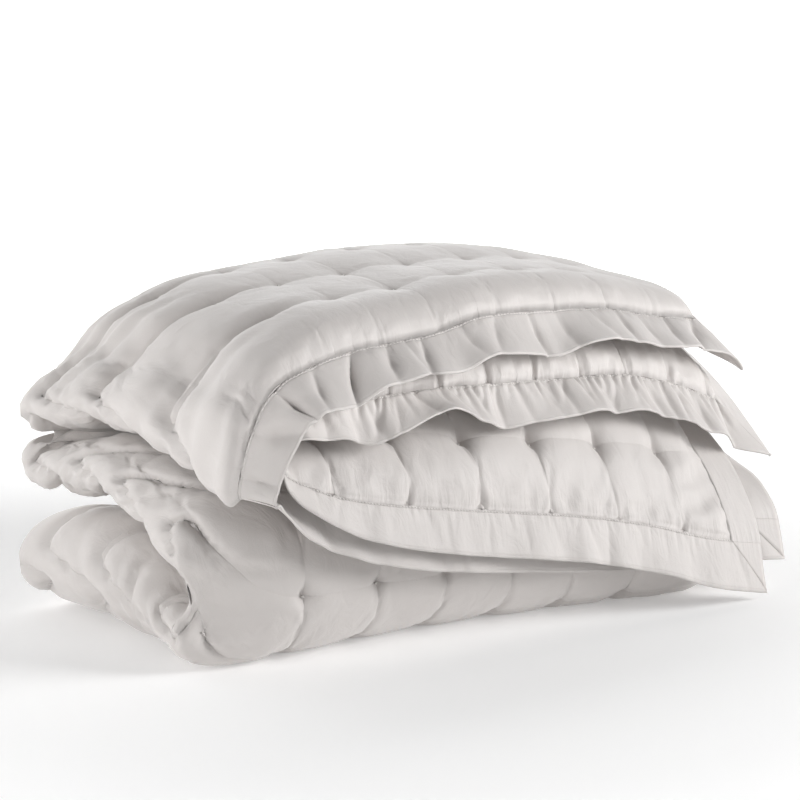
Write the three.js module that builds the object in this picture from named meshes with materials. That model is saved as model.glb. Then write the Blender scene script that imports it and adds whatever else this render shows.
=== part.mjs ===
// A tufted quilt with a flat border, folded for the shelf. Millimetres, +Z up.
// X runs along the open front, from the rolled fold on the left to the side
// seams on the right. Y runs to the back, and the quilt rests on z = 0.
//
// The folds, in the order they are made:
//   1. in half along the length, so that both end borders meet at the front,
//   2. in half across the width, so that one loop lies inside the other: the
//      outer loop is layer A on top and layer F below, the inner one C and D,
//   3. back and forth in three: top slab, back fold, middle slab, front fold,
//      bottom slab.
// A point of the flat quilt is named by
//   s  millimetres across the width from the rolled fold, minus on A and C,
//   w  millimetres along the length from the hem edge,
//   m  which loop it is in: OUTER, INNER, or between them in the far fold.
import * as THREE from "three";

// ---- sizes ------------------------------------------------------------
const PITCH = 101; // tuft to tuft
const CELLS_ACROSS = 8; // tuft cells from the rolled fold to the side seam
const FIELD = PITCH * CELLS_ACROSS; // rolled fold to side seam
const BORDER = 62; // flat border, seam to hem edge
const HALF_LENGTH = 1220; // hem edge to the far fold
const BORDER_THICK = 2; // two cloths sewn flat
const PADDED_TOP = 34; // one padded layer where it lies loose on top
const PADDED_LOW = 23; // one padded layer under the weight of the others
const SEAM_THICK = 3; // a padded layer where it is sewn down
const TUFT_DEPTH = 0.55; // share of the thickness that a tuft pulls in
const EDGE_ROUND = 34; // run over which the padding swells from a seam
const GAP = 1; // between a border and the padded field
const PRESSED = 2.5; // how far the weight sets the lowest cloth flat
const OUTER = 0.75;
const INNER = 0.25; // distance of each loop from the middle of a slab
const TOP_RUN = 375; // hem edge to the back fold, along the top slab
const FAN_RUN = 185; // run of each layer over which it parts from the stack
const FAR_FOLD_OUT = 12; // how far the far fold stands out
const APART = 1.2; // clear space kept between two layers
const THINNEST = 5; // padding where layers are pinched together
const REST_ON = { F: 13, D: 39 }; // least height of the lower loops over the middle slab
const ROLL_DEPTH = { outer: 79, inner: 17 }; // rounding of each loop at the rolled side
const INNER_ROLL_BACK = 22; // how far the inner loop's roll lies behind the outer one's
const BACK_END_OUT = 16; // how far the rolled side stands out near the back fold
const PINCH = 60; // how far the back and front folds draw the rolled side in
const PINCH_TURN = 0.4; // and over how much of their turn
const HANG = { in: 24, down: 44 }; // of the top layer's side border over the ones below
const CORNER_CLEAR = 1.2; // opening of the mitre at each corner of the border
const MIDDLE = { x: 18, y: -3 }; // middle of the folded quilt, set on the origin

// ---- tables -----------------------------------------------------------
// Each table is {at: [...], column: [...]}; `read` runs a smooth line through it.
const FRONT_FACE = {
  // front of the lower two slabs
  x: [-410, -380, -340, -280, -200, -100, 0, 100, 200, 300, 400],
  y: [-112, -128, -146, -163, -175, -182, -192, -205, -218, -232, -240],
};
const CREASE_LOW = {
  // crease between the bottom and the middle slab
  y: [-180, -90, 0, 80, 170, 290],
  zLeft: [78, 88, 138, 170, 166, 122],
  zInside: [96, 100, 106, 112, 112, 108],
};
const CREASE_HIGH = {
  // crease between the middle and the top slab
  y: [-180, -90, 0, 80, 200, 300],
  zLeft: [212, 236, 256, 258, 240, 226],
  zInside: [205, 208, 214, 220, 218, 212],
};
const SAG = { x: [-100, 0, 100, 200, 300, 400, 460], drop: [0, 8, 24, 44, 62, 74, 78] }; // of the stack, to the right
const SAG_SHARE = { y: [-240, -150, -60, 40, 160], share: [1, 0.85, 0.5, 0.2, 0] }; // of that, to the back
const TOP_SEAM_LINE = {
  // height of the top along its front seam
  x: [-400, -340, -300, -250, -200, -100, 0, 100, 200, 300, 400, 460],
  z: [282, 330, 358, 374, 384, 394, 402, 400, 392, 372, 350, 335],
};
const CROWN = {
  // rise of the top behind that seam
  y: [-250, -172, -90, 0, 90, 200, 300],
  rise: [-18, 0, 27, 54, 63, 53, 24],
};
const BACK_FOLD = {
  x: [-410, -360, -250, 0, 250, 450],
  y: [236, 200, 142, 118, 132, 144], // where the flat of the slabs ends
};
const BACK_FOLD_DEPTH = { x: [-410, -350, -250, 0, 450], share: [0.42, 0.62, 0.86, 0.98, 0.92] };
const FRONT_FOLD_DEPTH = {
  x: [-410, -370, -320, -250, -100, 450],
  share: [0.22, 0.36, 0.62, 0.85, 0.95, 0.95],
};
const FAR_FOLD = { x: [-410, -300, -100, 450], y: [268, 250, 238, 238] };
const D_RISE = { x: [-340, -290, -200, -100, 0], z: [0, 14, 20, 10, 0] }; // of layer D behind its seam
const HEM_OUT = { x: [-382, -340, -300, -250, -200], out: [30, 28, 20, 8, 0] }; // of the outer loop's hem edge
const SEAM_X = {
  // where each layer's side seam ends in the top slab
  A: 378,
  C: 392,
  D: 330,
  F: 376,
  low: 352, // in the lower two slabs
};
// Heights of the seam and of the hem edge of the four layers at the front.
const LAYERS = {
  x: [-380, -366, -340, -300, -250, -200, -100, 0, 100, 200, 300, 400, 460],
  A: {
    seam: [290, 318, 346, 360, 373, 379, 383, 397, 393, 385, 365, 351, 340],
    hem: [262, 292, 322, 326, 324, 334, 341, 356, 352, 350, 326, 318, 328],
  },
  C: {
    seam: [264, 298, 306, 322, 326, 322, 321, 316, 310, 304, 282, 244, 212],
    hem: [240, 268, 288, 288, 286, 273, 296, 271, 268, 267, 233, 194, 170],
  },
  D: {
    seam: [226, 236, 252, 235, 214, 201, 182, 165, 147, 123, 93, 74, 60],
    hem: [214, 228, 242, 207, 176, 155, 129, 110, 90, 64, 28, 8, 2],
  },
  F: {
    seam: [218, 226, 232, 226, 206, 189, 168, 152, 138, 124, 112, 102, 92],
    hem: [200, 194, 180, 163, 144, 127, 103, 88, 73, 61, 52, 46, 40],
  },
};
// Their distance to the front, as y at x = 0 and slope along x.
const LAYER_Y = {
  A: { seam: [-172, 0.07], hem: [-216, 0.05] },
  C: { seam: [-188, 0.03], hem: [-222, -0.01] },
  D: { seam: [-233, -0.105], hem: [-250, -0.105] },
  F: { seam: [-212, -0.085], hem: [-229, -0.085] },
};
const ORDER = ["F", "D", "C", "A"]; // from the bottom of a slab to its top

// ---- small helpers ----------------------------------------------------
const clamp = (v, lo, hi) => Math.min(Math.max(v, lo), hi);
const mix = (a, b, t) => a + (b - a) * t;
const ease = (t) => {
  const u = clamp(t, 0, 1);
  return u * u * (3 - 2 * u);
};
const rounded = (t) => {
  const u = clamp(t, 0, 1);
  return Math.sqrt(u * (2 - u));
};

// The greater of two heights, rounded where they cross.
const softly = (a, b) => (a + b + Math.sqrt((a - b) ** 2 + 30)) / 2;

// A smooth line through a table that never overshoots its rows.
function read(at, column, v) {
  const last = at.length - 1;
  const x = clamp(v, at[0], at[last]);
  let i = 0;
  while (i < last - 1 && x >= at[i + 1]) i++;
  const rise = (k) => (column[k + 1] - column[k]) / (at[k + 1] - at[k]);
  const tangent = (k) => {
    if (k === 0) return rise(0);
    if (k === last) return rise(last - 1);
    const a = rise(k - 1);
    const b = rise(k);
    return a * b <= 0 ? 0 : (2 * a * b) / (a + b);
  };
  const h = at[i + 1] - at[i];
  const t = (x - at[i]) / h;
  const t2 = t * t;
  const t3 = t2 * t;
  return (
    (2 * t3 - 3 * t2 + 1) * column[i] +
    (t3 - 2 * t2 + t) * h * tangent(i) +
    (3 * t2 - 2 * t3) * column[i + 1] +
    (t3 - t2) * h * tangent(i + 1)
  );
}

// ---- the three slabs --------------------------------------------------
const inward = (x) => ease((x + 400) / 260); // 0 at the rolled side, 1 inside
const sag = (x, y) => read(SAG.x, SAG.drop, x) * read(SAG_SHARE.y, SAG_SHARE.share, y);
const creaseLow = (x, y) =>
  mix(read(CREASE_LOW.y, CREASE_LOW.zLeft, y), read(CREASE_LOW.y, CREASE_LOW.zInside, y), inward(x)) -
  sag(x, y) / 2;
const creaseHigh = (x, y) =>
  mix(read(CREASE_HIGH.y, CREASE_HIGH.zLeft, y), read(CREASE_HIGH.y, CREASE_HIGH.zInside, y), inward(x)) -
  sag(x, y);
function topHeight(x, y) {
  const shoulder = ease((x + 400) / 180) * (1 - 0.12 * ease((x - 150) / 300));
  const leftBack = 8 * ease((y + 40) / 180) * (1 - ease((x + 400) / 150));
  return (
    read(TOP_SEAM_LINE.x, TOP_SEAM_LINE.z, x) +
    read(CROWN.y, CROWN.rise, y) * (0.35 + 0.65 * shoulder) +
    leftBack
  );
}
// How much a point belongs to the top slab: 1 there, 0 in the lower two.
const inTop = (w) => 1 - ease((w - TOP_RUN - 20) / 160);

// The roll of a loop: how far it stands out, and the cloth in a quarter turn of it.
function rollOf(w, m) {
  const out = mix(ROLL_DEPTH.inner, ROLL_DEPTH.outer, (m - INNER) / (OUTER - INNER)) * (1 + 0.16 * inTop(w));
  return { out, quarter: (Math.PI / 2) * Math.max(out, 20) * 0.92 };
}

// Where a point lies across a slab: x, and level from -1 (bottom) to 1 (top).
function across(s, w, m) {
  const top = inTop(w);
  const { out: rollOut, quarter } = rollOf(w, m);
  const byBackFold = Math.exp(-(((w - TOP_RUN - 30) / 90) ** 2));
  const rollMiddle = -320 + 30 * top - (m > 0.5 ? 0 : INNER_ROLL_BACK) - BACK_END_OUT * byBackFold;
  const angle = clamp(s / quarter, -1, 1) * (Math.PI / 2);
  const beyond = Math.max(Math.abs(s) - quarter, 0);
  const outer = m > 0.5;
  const seamTop = s < 0 ? (outer ? SEAM_X.A : SEAM_X.C) : outer ? SEAM_X.F : SEAM_X.D;
  const seamLow = SEAM_X.low + 8 * Math.cos(5 * m);
  const stretch = (mix(seamLow, seamTop, top) - rollMiddle) / (FIELD - quarter);
  return {
    x: rollMiddle - rollOut * Math.cos(angle) + beyond * stretch,
    level: -m * Math.sin(angle),
  };
}

// The back-and-forth path of one level of the stack, at one x.
function stretches(x, level) {
  const backY = read(BACK_FOLD.x, BACK_FOLD.y, x);
  const backShare = read(BACK_FOLD_DEPTH.x, BACK_FOLD_DEPTH.share, x);
  const backZ = creaseHigh(x, backY);
  const backUp = ((topHeight(x, backY) - backZ) * (1 + level)) / 2;
  const backDown = ((backZ - creaseLow(x, backY)) * (1 + level)) / 2;
  const backRun = Math.PI * 0.5 * (backUp + backDown) * (0.5 + 0.5 * backShare) + 26;
  const frontShare = read(FRONT_FOLD_DEPTH.x, FRONT_FOLD_DEPTH.share, x);
  const face = read(FRONT_FACE.x, FRONT_FACE.y, x);
  const frontY = face + frontShare * 0.5 * creaseHigh(x, face);
  const frontZ = creaseLow(x, frontY);
  const frontUp = ((creaseHigh(x, frontY) - frontZ) * (1 - level)) / 2;
  const frontDown = (frontZ * (1 - level)) / 2;
  const frontRun = Math.PI * 0.5 * (frontUp + frontDown) * (0.5 + 0.5 * frontShare) + 18;
  const toMiddle = TOP_RUN + backRun;
  const toFront = toMiddle + (backY - frontY);
  const toBottom = toFront + frontRun;
  return {
    backY, backShare, backZ, backUp, backDown, backRun,
    frontY, frontShare, frontZ, frontUp, frontDown, frontRun,
    toMiddle, toFront, toBottom,
  };
}

function topSlab(x, level, w, backY) {
  const y = backY - (TOP_RUN - w);
  const under = creaseHigh(x, Math.max(y, -180));
  return { y, z: mix(under, topHeight(x, y), (1 + level) / 2) };
}

// How far a fold draws the rolled side in.
const pinched = (x, turn) => PINCH * Math.exp(-(((turn - Math.PI / 2) / PINCH_TURN) ** 2)) * (1 - ease((x + 400) / 150));

function along(x, level, w) {
  const p = stretches(x, level);
  if (w <= TOP_RUN) return topSlab(x, level, w, p.backY);
  if (w <= p.toMiddle) {
    const turn = (Math.PI * (w - TOP_RUN)) / p.backRun;
    const radius = Math.cos(turn) > 0 ? p.backUp : p.backDown;
    return {
      y: p.backY + Math.sin(turn) * p.backShare * 0.5 * (p.backUp + p.backDown),
      z: p.backZ + radius * Math.cos(turn),
      inwards: pinched(x, turn),
    };
  }
  if (w <= p.toFront) {
    const y = mix(p.backY, p.frontY, (w - p.toMiddle) / (p.toFront - p.toMiddle));
    return { y, z: mix(creaseHigh(x, y), creaseLow(x, y), (1 + level) / 2) };
  }
  if (w <= p.toBottom) {
    const turn = (Math.PI * (w - p.toFront)) / p.frontRun;
    const radius = Math.cos(turn) > 0 ? p.frontUp : p.frontDown;
    return {
      y: p.frontY - Math.sin(turn) * p.frontShare * 0.5 * (p.frontUp + p.frontDown),
      z: p.frontZ + radius * Math.cos(turn),
      inwards: pinched(x, turn),
    };
  }
  const share = clamp((w - p.toBottom) / Math.max(HALF_LENGTH - p.toBottom, 60), 0, 1);
  const y = mix(p.frontY, read(FAR_FOLD.x, FAR_FOLD.y, x), share);
  return { y, z: (creaseLow(x, y) * (1 + level)) / 2 };
}

// Height of the outside of the lower two slabs under a point in front.
function slabTop(x, y) {
  const p = stretches(x, -1);
  if (y >= p.frontY) return creaseHigh(x, y);
  const depth = p.frontShare * 0.5 * (p.frontUp + p.frontDown);
  const out = (p.frontY - y) / depth;
  return out < 1 ? p.frontZ + p.frontUp * Math.sqrt(1 - out * out) : -Infinity;
}

// Seam and hem of the layer at this level, where the front fans out.
function frontLine(x, level) {
  const step = (clamp(level, -OUTER, OUTER) + OUTER) / 0.5;
  const i = clamp(Math.floor(step), 0, 2);
  const t = ease(step - i);
  const lineOf = (name) => ({
    seamY: LAYER_Y[name].seam[0] + LAYER_Y[name].seam[1] * x,
    seamZ: read(LAYERS.x, LAYERS[name].seam, x),
    hemY: LAYER_Y[name].hem[0] + LAYER_Y[name].hem[1] * x,
    hemZ: read(LAYERS.x, LAYERS[name].hem, x),
  });
  const a = lineOf(ORDER[i]);
  const b = lineOf(ORDER[i + 1]);
  return {
    seamY: mix(a.seamY, b.seamY, t),
    seamZ: mix(a.seamZ, b.seamZ, t),
    hemY: mix(a.hemY, b.hemY, t),
    hemZ: mix(a.hemZ, b.hemZ, t),
  };
}

// The middle of the cloth at a point of the flat quilt.
function middle(s, w, m) {
  const { x, level } = across(s, w, m);
  const p = inOrder(x, level, w, m);
  if (m > 0.5 && s < -FIELD) {
    // the side border of the top layer hangs over the ones below
    const hang = Math.min((-s - FIELD) / BORDER, 1.2);
    const hanging = (0.25 + 0.75 * ease(w / 150)) * inTop(w);
    p.x -= HANG.in * hanging * hang ** 2;
    p.z -= HANG.down * hanging * hang ** 1.5;
  }
  return p;
}

function inOrder(x, level, w, m) {
  const fanEnd = BORDER + FAN_RUN;
  if (w >= fanEnd) {
    const { y, z, inwards = 0 } = along(x, level, w);
    return new THREE.Vector3(x + inwards, y, z);
  }
  const line = frontLine(x, level);
  if (w < BORDER) {
    const u = 1 - w / BORDER;
    const flare = m > 0.5 ? u * read(HEM_OUT.x, HEM_OUT.out, x) : 0;
    return new THREE.Vector3(
      x + flare,
      mix(line.seamY, line.hemY, u) - 0.4 * flare,
      mix(line.seamZ, line.hemZ, u),
    );
  }
  const backY = read(BACK_FOLD.x, BACK_FOLD.y, x);
  const far = topSlab(x, level, fanEnd, backY);
  const past = topSlab(x, level, fanEnd + 8, backY);
  const t = (w - BORDER) / FAN_RUN;
  const t2 = t * t;
  const t3 = t2 * t;
  const bend = (start, startSlope, end, endSlope) =>
    (2 * t3 - 3 * t2 + 1) * start +
    (t3 - 2 * t2 + t) * FAN_RUN * startSlope +
    (3 * t2 - 2 * t3) * end +
    (t3 - t2) * FAN_RUN * endSlope;
  const y = bend(line.seamY, (line.seamY - line.hemY) / BORDER, far.y, 1);
  const rise = read(D_RISE.x, D_RISE.z, x) * clamp(1 - 2 * Math.abs(level + INNER), 0, 1) * Math.sin(Math.PI * t) ** 2;
  const z = bend(line.seamZ, (line.seamZ - line.hemZ) / BORDER, far.z, (past.z - far.z) / 8) + rise;
  const rest = slabTop(x, y) + (m > 0.5 ? REST_ON.F : REST_ON.D);
  return new THREE.Vector3(x, y, z > rest + 12 || rest === -Infinity ? z : softly(z, rest));
}

// Round the far fold, turn runs from 0 (outer loop) to PI (inner loop).
function cloth(s, w, m, turn = 0) {
  const p = middle(s, w, m);
  p.y += FAR_FOLD_OUT * Math.sin(turn);
  return p;
}

// ---- surfaces ---------------------------------------------------------
// A row of the flat quilt: one line of constant w in one loop.
const row = (w, m, turn = 0) => ({ w, m, turn });

// The direction the cloth faces, from its neighbours.
function facing(s, here, before, after) {
  const step = 4;
  const atRow = (ds, r) => cloth(s + ds, r.w, r.m, r.turn);
  const alongS = atRow(step, here).sub(atRow(-step, here));
  const alongW = atRow(0, after).sub(atRow(0, before));
  return alongS.cross(alongW).normalize();
}

// Rows either side of a row, close by, for `facing`.
function neighbours(r) {
  const d = 5;
  const up = r.m >= 0.5; // on the outer loop w grows along the surface
  if (r.turn > 0) {
    const e = 0.25;
    const at = (t) => row(r.w, 0.5 + 0.25 * Math.cos(t), t);
    return [at(Math.max(r.turn - e, 0)), at(Math.min(r.turn + e, Math.PI))];
  }
  const low = row(Math.max(r.w - d, 0), r.m);
  const high = row(Math.min(r.w + d, HALF_LENGTH), r.m);
  return up ? [low, high] : [high, low];
}

// The place beside s on the other loop, which turns over another length of cloth.
function beside(s, w, m) {
  const here = rollOf(w, m).quarter;
  const next = rollOf(w, m > 0.5 ? INNER : OUTER).quarter;
  const size = Math.abs(s);
  if (size < here) return (s * next) / here;
  return Math.sign(s) * (next + ((size - here) * (FIELD - next)) / (FIELD - here));
}

// How far the neighbouring layers lie, square to the cloth.
function room(s, r, here, n) {
  const square = (other) => Math.abs(other.sub(here).dot(n));
  if (r.turn > 0) return PADDED_LOW;
  const outer = r.m > 0.5;
  const next = cloth(beside(s, r.w, r.m), r.w, outer ? INNER : OUTER);
  const apart = next.distanceTo(here);
  let least = square(next);
  if (outer && s < 30) {
    // round the roll the next loop lies inside, not square to the cloth
    const alongRoll = 0.6 * (1 - ease((Math.abs(s) - rollOf(r.w, r.m).quarter * 0.7) / 120));
    least = mix(least, apart, alongRoll);
  }
  if (!outer && Math.abs(s) > 45) least = Math.min(least, square(cloth(-s, r.w, INNER)));
  if (s > 0 && outer && r.w < BORDER + FAN_RUN) {
    const over = here.z - slabTop(here.x, here.y);
    const away =
      200 * (1 - ease((here.x + 300) / 120)) + 200 * ease((r.w - BORDER - 0.7 * FAN_RUN) / (0.3 * FAN_RUN));
    least = Math.min(least, 2 * Math.max(over, 0) * Math.abs(n.z) + away);
  }
  return least;
}

// Thickness of the padded cloth: full in the cells, drawn in at tufts, channels and seams.
function padding(s, r, here, n) {
  const w = r.w;
  const free = Math.max(room(s, r, here, n) - APART, THINNEST);
  const full = Math.min(mix(PADDED_LOW, PADDED_TOP, inTop(w)), free);
  const cellX = Math.cos((Math.PI * s) / PITCH) ** 2;
  const cellY = Math.cos((Math.PI * (w - BORDER)) / PITCH) ** 2;
  const pulled = TUFT_DEPTH * (cellX * cellY) ** 2 + 0.16 * cellX * (1 - cellY);
  const edges = rounded((w - BORDER) / EDGE_ROUND) * rounded((FIELD - Math.abs(s)) / EDGE_ROUND);
  return SEAM_THICK + (full - SEAM_THICK) * edges * (1 - pulled);
}

// A closed sheet over rows, each row with its own list of s; neighbouring rows
// are joined by a strip of triangles even where one has fewer points.
function closedSheet(rows, stationsOf, thicknessAt, shift = () => 0) {
  const position = [];
  const index = [];
  const top = [];
  const bottom = [];
  rows.forEach((r, k) => {
    const [before, after] = neighbours(r);
    const topLine = [];
    const bottomLine = [];
    for (const s of stationsOf(k)) {
      const w = r.w + shift(k, s);
      const here = row(w, r.m, r.turn);
      const p = cloth(s, w, r.m, r.turn);
      const n = facing(s, here, { ...before, w: before.w + w - r.w }, { ...after, w: after.w + w - r.w });
      const half = thicknessAt(s, here, p, n) / 2;
      topLine.push([s, position.length / 3]);
      const a = p.clone().addScaledVector(n, half);
      position.push(a.x, a.y, Math.max(a.z - PRESSED, 0));
      bottomLine.push([s, position.length / 3]);
      const b = p.clone().addScaledVector(n, -half);
      position.push(b.x, b.y, Math.max(b.z - PRESSED, 0));
    }
    top.push(topLine);
    bottom.push(bottomLine);
  });
  const tri = (a, b, c, flip) => index.push(...(flip ? [a, c, b] : [a, b, c]));
  const zip = (p, q, flip) => {
    let i = 0;
    let j = 0;
    const size = (line) => line[line.length - 1][0] - line[0][0];
    const share = (line, k) => (line[k][0] - line[0][0]) / size(line);
    while (i < p.length - 1 || j < q.length - 1) {
      const nextP = i < p.length - 1 ? share(p, i + 1) : Infinity;
      const nextQ = j < q.length - 1 ? share(q, j + 1) : Infinity;
      if (nextP <= nextQ) {
        tri(p[i][1], p[i + 1][1], q[j][1], flip);
        i++;
      } else {
        tri(p[i][1], q[j + 1][1], q[j][1], flip);
        j++;
      }
    }
  };
  for (let k = 0; k < rows.length - 1; k++) {
    zip(top[k], top[k + 1], false);
    zip(bottom[k], bottom[k + 1], true);
    const end = (lines) => lines[lines.length - 1][1];
    // left and right edges
    tri(top[k][0][1], top[k + 1][0][1], bottom[k][0][1], false);
    tri(bottom[k][0][1], top[k + 1][0][1], bottom[k + 1][0][1], false);
    tri(end(top[k]), end(bottom[k]), end(top[k + 1]), false);
    tri(end(bottom[k]), end(bottom[k + 1]), end(top[k + 1]), false);
  }
  for (const [k, flip] of [[0, false], [rows.length - 1, true]])
    for (let i = 0; i < top[k].length - 1; i++) {
      const [a, b] = [top[k][i][1], top[k][i + 1][1]];
      const [c, d] = [bottom[k][i][1], bottom[k][i + 1][1]];
      tri(a, c, b, flip);
      tri(b, c, d, flip);
    }
  return new THREE.BufferGeometry()
    .setAttribute("position", new THREE.Float32BufferAttribute(position, 3))
    .setIndex(index);
}

// ---- where the rows and stations go -----------------------------------
const evenly = (from, to, step) => {
  const n = Math.max(1, Math.round((to - from) / step));
  return Array.from({ length: n + 1 }, (_, k) => mix(from, to, k / n));
};
const mirrored = (list) => [...list.map((v) => -v).reverse(), 0, ...list];
const ROLL_STATIONS = [12, 25, 45, 73, 103, 133];
const FINE_STATIONS = mirrored([...ROLL_STATIONS, ...evenly(1.5 * PITCH, FIELD - PITCH / 2, PITCH / 2), FIELD - 16, FIELD]);
const PLAIN_STATIONS = mirrored([...ROLL_STATIONS.slice(0, 4), ...evenly(1.5 * PITCH, FIELD - PITCH / 2, PITCH), FIELD]);
const TURNS = [Math.PI / 4, Math.PI / 2, (3 * Math.PI) / 4];
const farFold = TURNS.map((t) => row(HALF_LENGTH, 0.5 + 0.25 * Math.cos(t), t));
const frontRows = [BORDER, BORDER + 14, ...evenly(BORDER + PITCH / 2, BORDER + 3 * PITCH, PITCH / 2)];
const outerRows = [...frontRows, ...evenly(BORDER + 3 * PITCH, HALF_LENGTH, PITCH / 3).slice(1)];
const innerRows = [...frontRows, ...evenly(BORDER + 3 * PITCH, HALF_LENGTH, PITCH / 2.3).slice(1)];

const bodyRows = [
  ...outerRows.map((w) => row(w, OUTER)),
  ...farFold,
  ...innerRows.map((w) => row(w, INNER)).reverse(),
];
const bodyStations = (k) =>
  k < outerRows.length - 8 || k > bodyRows.length - 6 ? FINE_STATIONS : PLAIN_STATIONS;

// ---- the pieces -------------------------------------------------------
const quilt = new THREE.Group();
quilt.name = "folded_quilt";

function add(name, geometry, color) {
  geometry.translate(-MIDDLE.x, -MIDDLE.y, 0);
  geometry.computeVertexNormals();
  const material = new THREE.MeshStandardMaterial({ color, roughness: 0.72, metalness: 0 });
  const mesh = new THREE.Mesh(geometry, material);
  mesh.name = name;
  quilt.add(mesh);
}

add("quilt_body", closedSheet(bodyRows, bodyStations, padding), "#d8d4d1");

// End borders: from mitre to mitre along each loop's open front.
const endStations = mirrored([...ROLL_STATIONS.slice(0, 5), ...evenly(1.5 * PITCH, FIELD, PITCH / 2)]);
const endRows = [0, BORDER / 2, BORDER - GAP];
const endBorder = (m) => {
  const rows = endRows.map((w) => row(w, m));
  const ordered = m === OUTER ? rows : rows.reverse();
  return closedSheet(
    ordered,
    (k) => {
      const reach = FIELD + (BORDER - ordered[k].w) - CORNER_CLEAR;
      return endStations.map((s) => (Math.abs(s) > FIELD - 1 ? Math.sign(s) * reach : s));
    },
    () => BORDER_THICK,
  );
};
add("end_border_outer", endBorder(OUTER), "#dcd8d5");
add("end_border_inner", endBorder(INNER), "#dcd8d5");

// Side borders: along the outer loop, round the far fold and back along the inner loop.
const sideRows = [
  row(BORDER, OUTER),
  ...outerRows.filter((w) => w > BORDER + 20).map((w) => row(w, OUTER)),
  ...farFold,
  ...innerRows.filter((w) => w > BORDER + 20).map((w) => row(w, INNER)).reverse(),
  row(BORDER, INNER),
];
const sideBorder = (side) => {
  const reach = [FIELD + GAP, FIELD + BORDER];
  const stations = side < 0 ? reach.map((s) => -s).reverse() : reach;
  const mitred = (k) => k === 0 || k === sideRows.length - 1;
  return closedSheet(
    sideRows,
    () => stations,
    () => BORDER_THICK,
    (k, s) => (mitred(k) ? Math.min(FIELD - Math.abs(s), 0) + CORNER_CLEAR : 0),
  );
};
add("side_border_upper", sideBorder(-1), "#dcd8d5");
add("side_border_lower", sideBorder(1), "#dcd8d5");

export default quilt;
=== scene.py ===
"""A folded, tufted quilt with a flat border, on a plain pale floor.

The quilt is one sheet, so every piece is made on the flat quilt and carried onto the folds:
  s  millimetres across the width from the rolled fold, minus on layers A and C,
  w  millimetres along the length from the hem edge,
  m  which loop a point is in: OUTER (A above, F below), INNER (C above, D below).
Lengths are millimetres up to the moment a mesh is made.
"""
import math

import bpy
import numpy as np
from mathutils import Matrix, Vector


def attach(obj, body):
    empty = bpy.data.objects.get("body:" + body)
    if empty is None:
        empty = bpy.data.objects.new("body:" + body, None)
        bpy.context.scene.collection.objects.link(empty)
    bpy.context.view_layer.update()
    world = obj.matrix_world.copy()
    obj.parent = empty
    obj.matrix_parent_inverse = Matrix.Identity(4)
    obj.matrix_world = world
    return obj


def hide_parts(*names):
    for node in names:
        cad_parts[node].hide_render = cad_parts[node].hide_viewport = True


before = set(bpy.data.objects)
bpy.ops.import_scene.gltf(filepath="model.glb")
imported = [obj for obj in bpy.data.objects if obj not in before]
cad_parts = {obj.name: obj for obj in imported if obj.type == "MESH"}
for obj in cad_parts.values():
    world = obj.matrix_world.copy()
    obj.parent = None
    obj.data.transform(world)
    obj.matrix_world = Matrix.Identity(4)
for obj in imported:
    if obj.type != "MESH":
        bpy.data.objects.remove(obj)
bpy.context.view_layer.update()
RNG = np.random.default_rng(11)

# ---- sizes, the same as the frame's ----------------------------------------
PITCH = 101.0
CELLS_ACROSS = 8
FIELD = PITCH * CELLS_ACROSS
BORDER = 62.0
HALF_LENGTH = 1220.0
PADDED_TOP = 34.0
PADDED_LOW = 23.0
SEAM_THICK = 3.0
EDGE_ROUND = 34.0
PRESSED = 2.5
OUTER, INNER = 0.75, 0.25
TOP_RUN = 375.0
FAN_RUN = 185.0
FAR_FOLD_OUT = 12.0
APART = 1.2
THINNEST = 5.0
MIDDLE = np.array([18.0, -3.0, 0.0])

FRONT_FACE = ([-410, -380, -340, -280, -200, -100, 0, 100, 200, 300, 400],
              [-112, -128, -146, -163, -175, -182, -192, -205, -218, -232, -240])
LOW_LEFT = ([-180, -90, 0, 80, 170, 290], [78, 88, 138, 170, 166, 122])
LOW_INSIDE = ([-180, -90, 0, 80, 170, 290], [96, 100, 106, 112, 112, 108])
HIGH_LEFT = ([-180, -90, 0, 80, 200, 300], [212, 236, 256, 258, 240, 226])
HIGH_INSIDE = ([-180, -90, 0, 80, 200, 300], [205, 208, 214, 220, 218, 212])
SAG = ([-100, 0, 100, 200, 300, 400, 460], [0, 8, 24, 44, 62, 74, 78])
SAG_SHARE = ([-240, -150, -60, 40, 160], [1, 0.85, 0.5, 0.2, 0])
TOP_SEAM_LINE = ([-400, -340, -300, -250, -200, -100, 0, 100, 200, 300, 400, 460],
                 [282, 330, 358, 374, 384, 394, 402, 400, 392, 372, 350, 335])
CROWN = ([-250, -172, -90, 0, 90, 200, 300], [-18, 0, 27, 54, 63, 53, 24])
BACK_FOLD = ([-410, -360, -250, 0, 250, 450], [236, 200, 142, 118, 132, 144])
BACK_FOLD_DEPTH = ([-410, -350, -250, 0, 450], [0.42, 0.62, 0.86, 0.98, 0.92])
FRONT_FOLD_DEPTH = ([-410, -370, -320, -250, -100, 450], [0.22, 0.36, 0.62, 0.85, 0.95, 0.95])
FAR_FOLD = ([-410, -300, -100, 450], [268, 250, 238, 238])
SEAM_X = {"A": 378.0, "C": 392.0, "D": 330.0, "F": 376.0, "low": 352.0}
LAYER_X = [-380, -366, -340, -300, -250, -200, -100, 0, 100, 200, 300, 400, 460]
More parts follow.
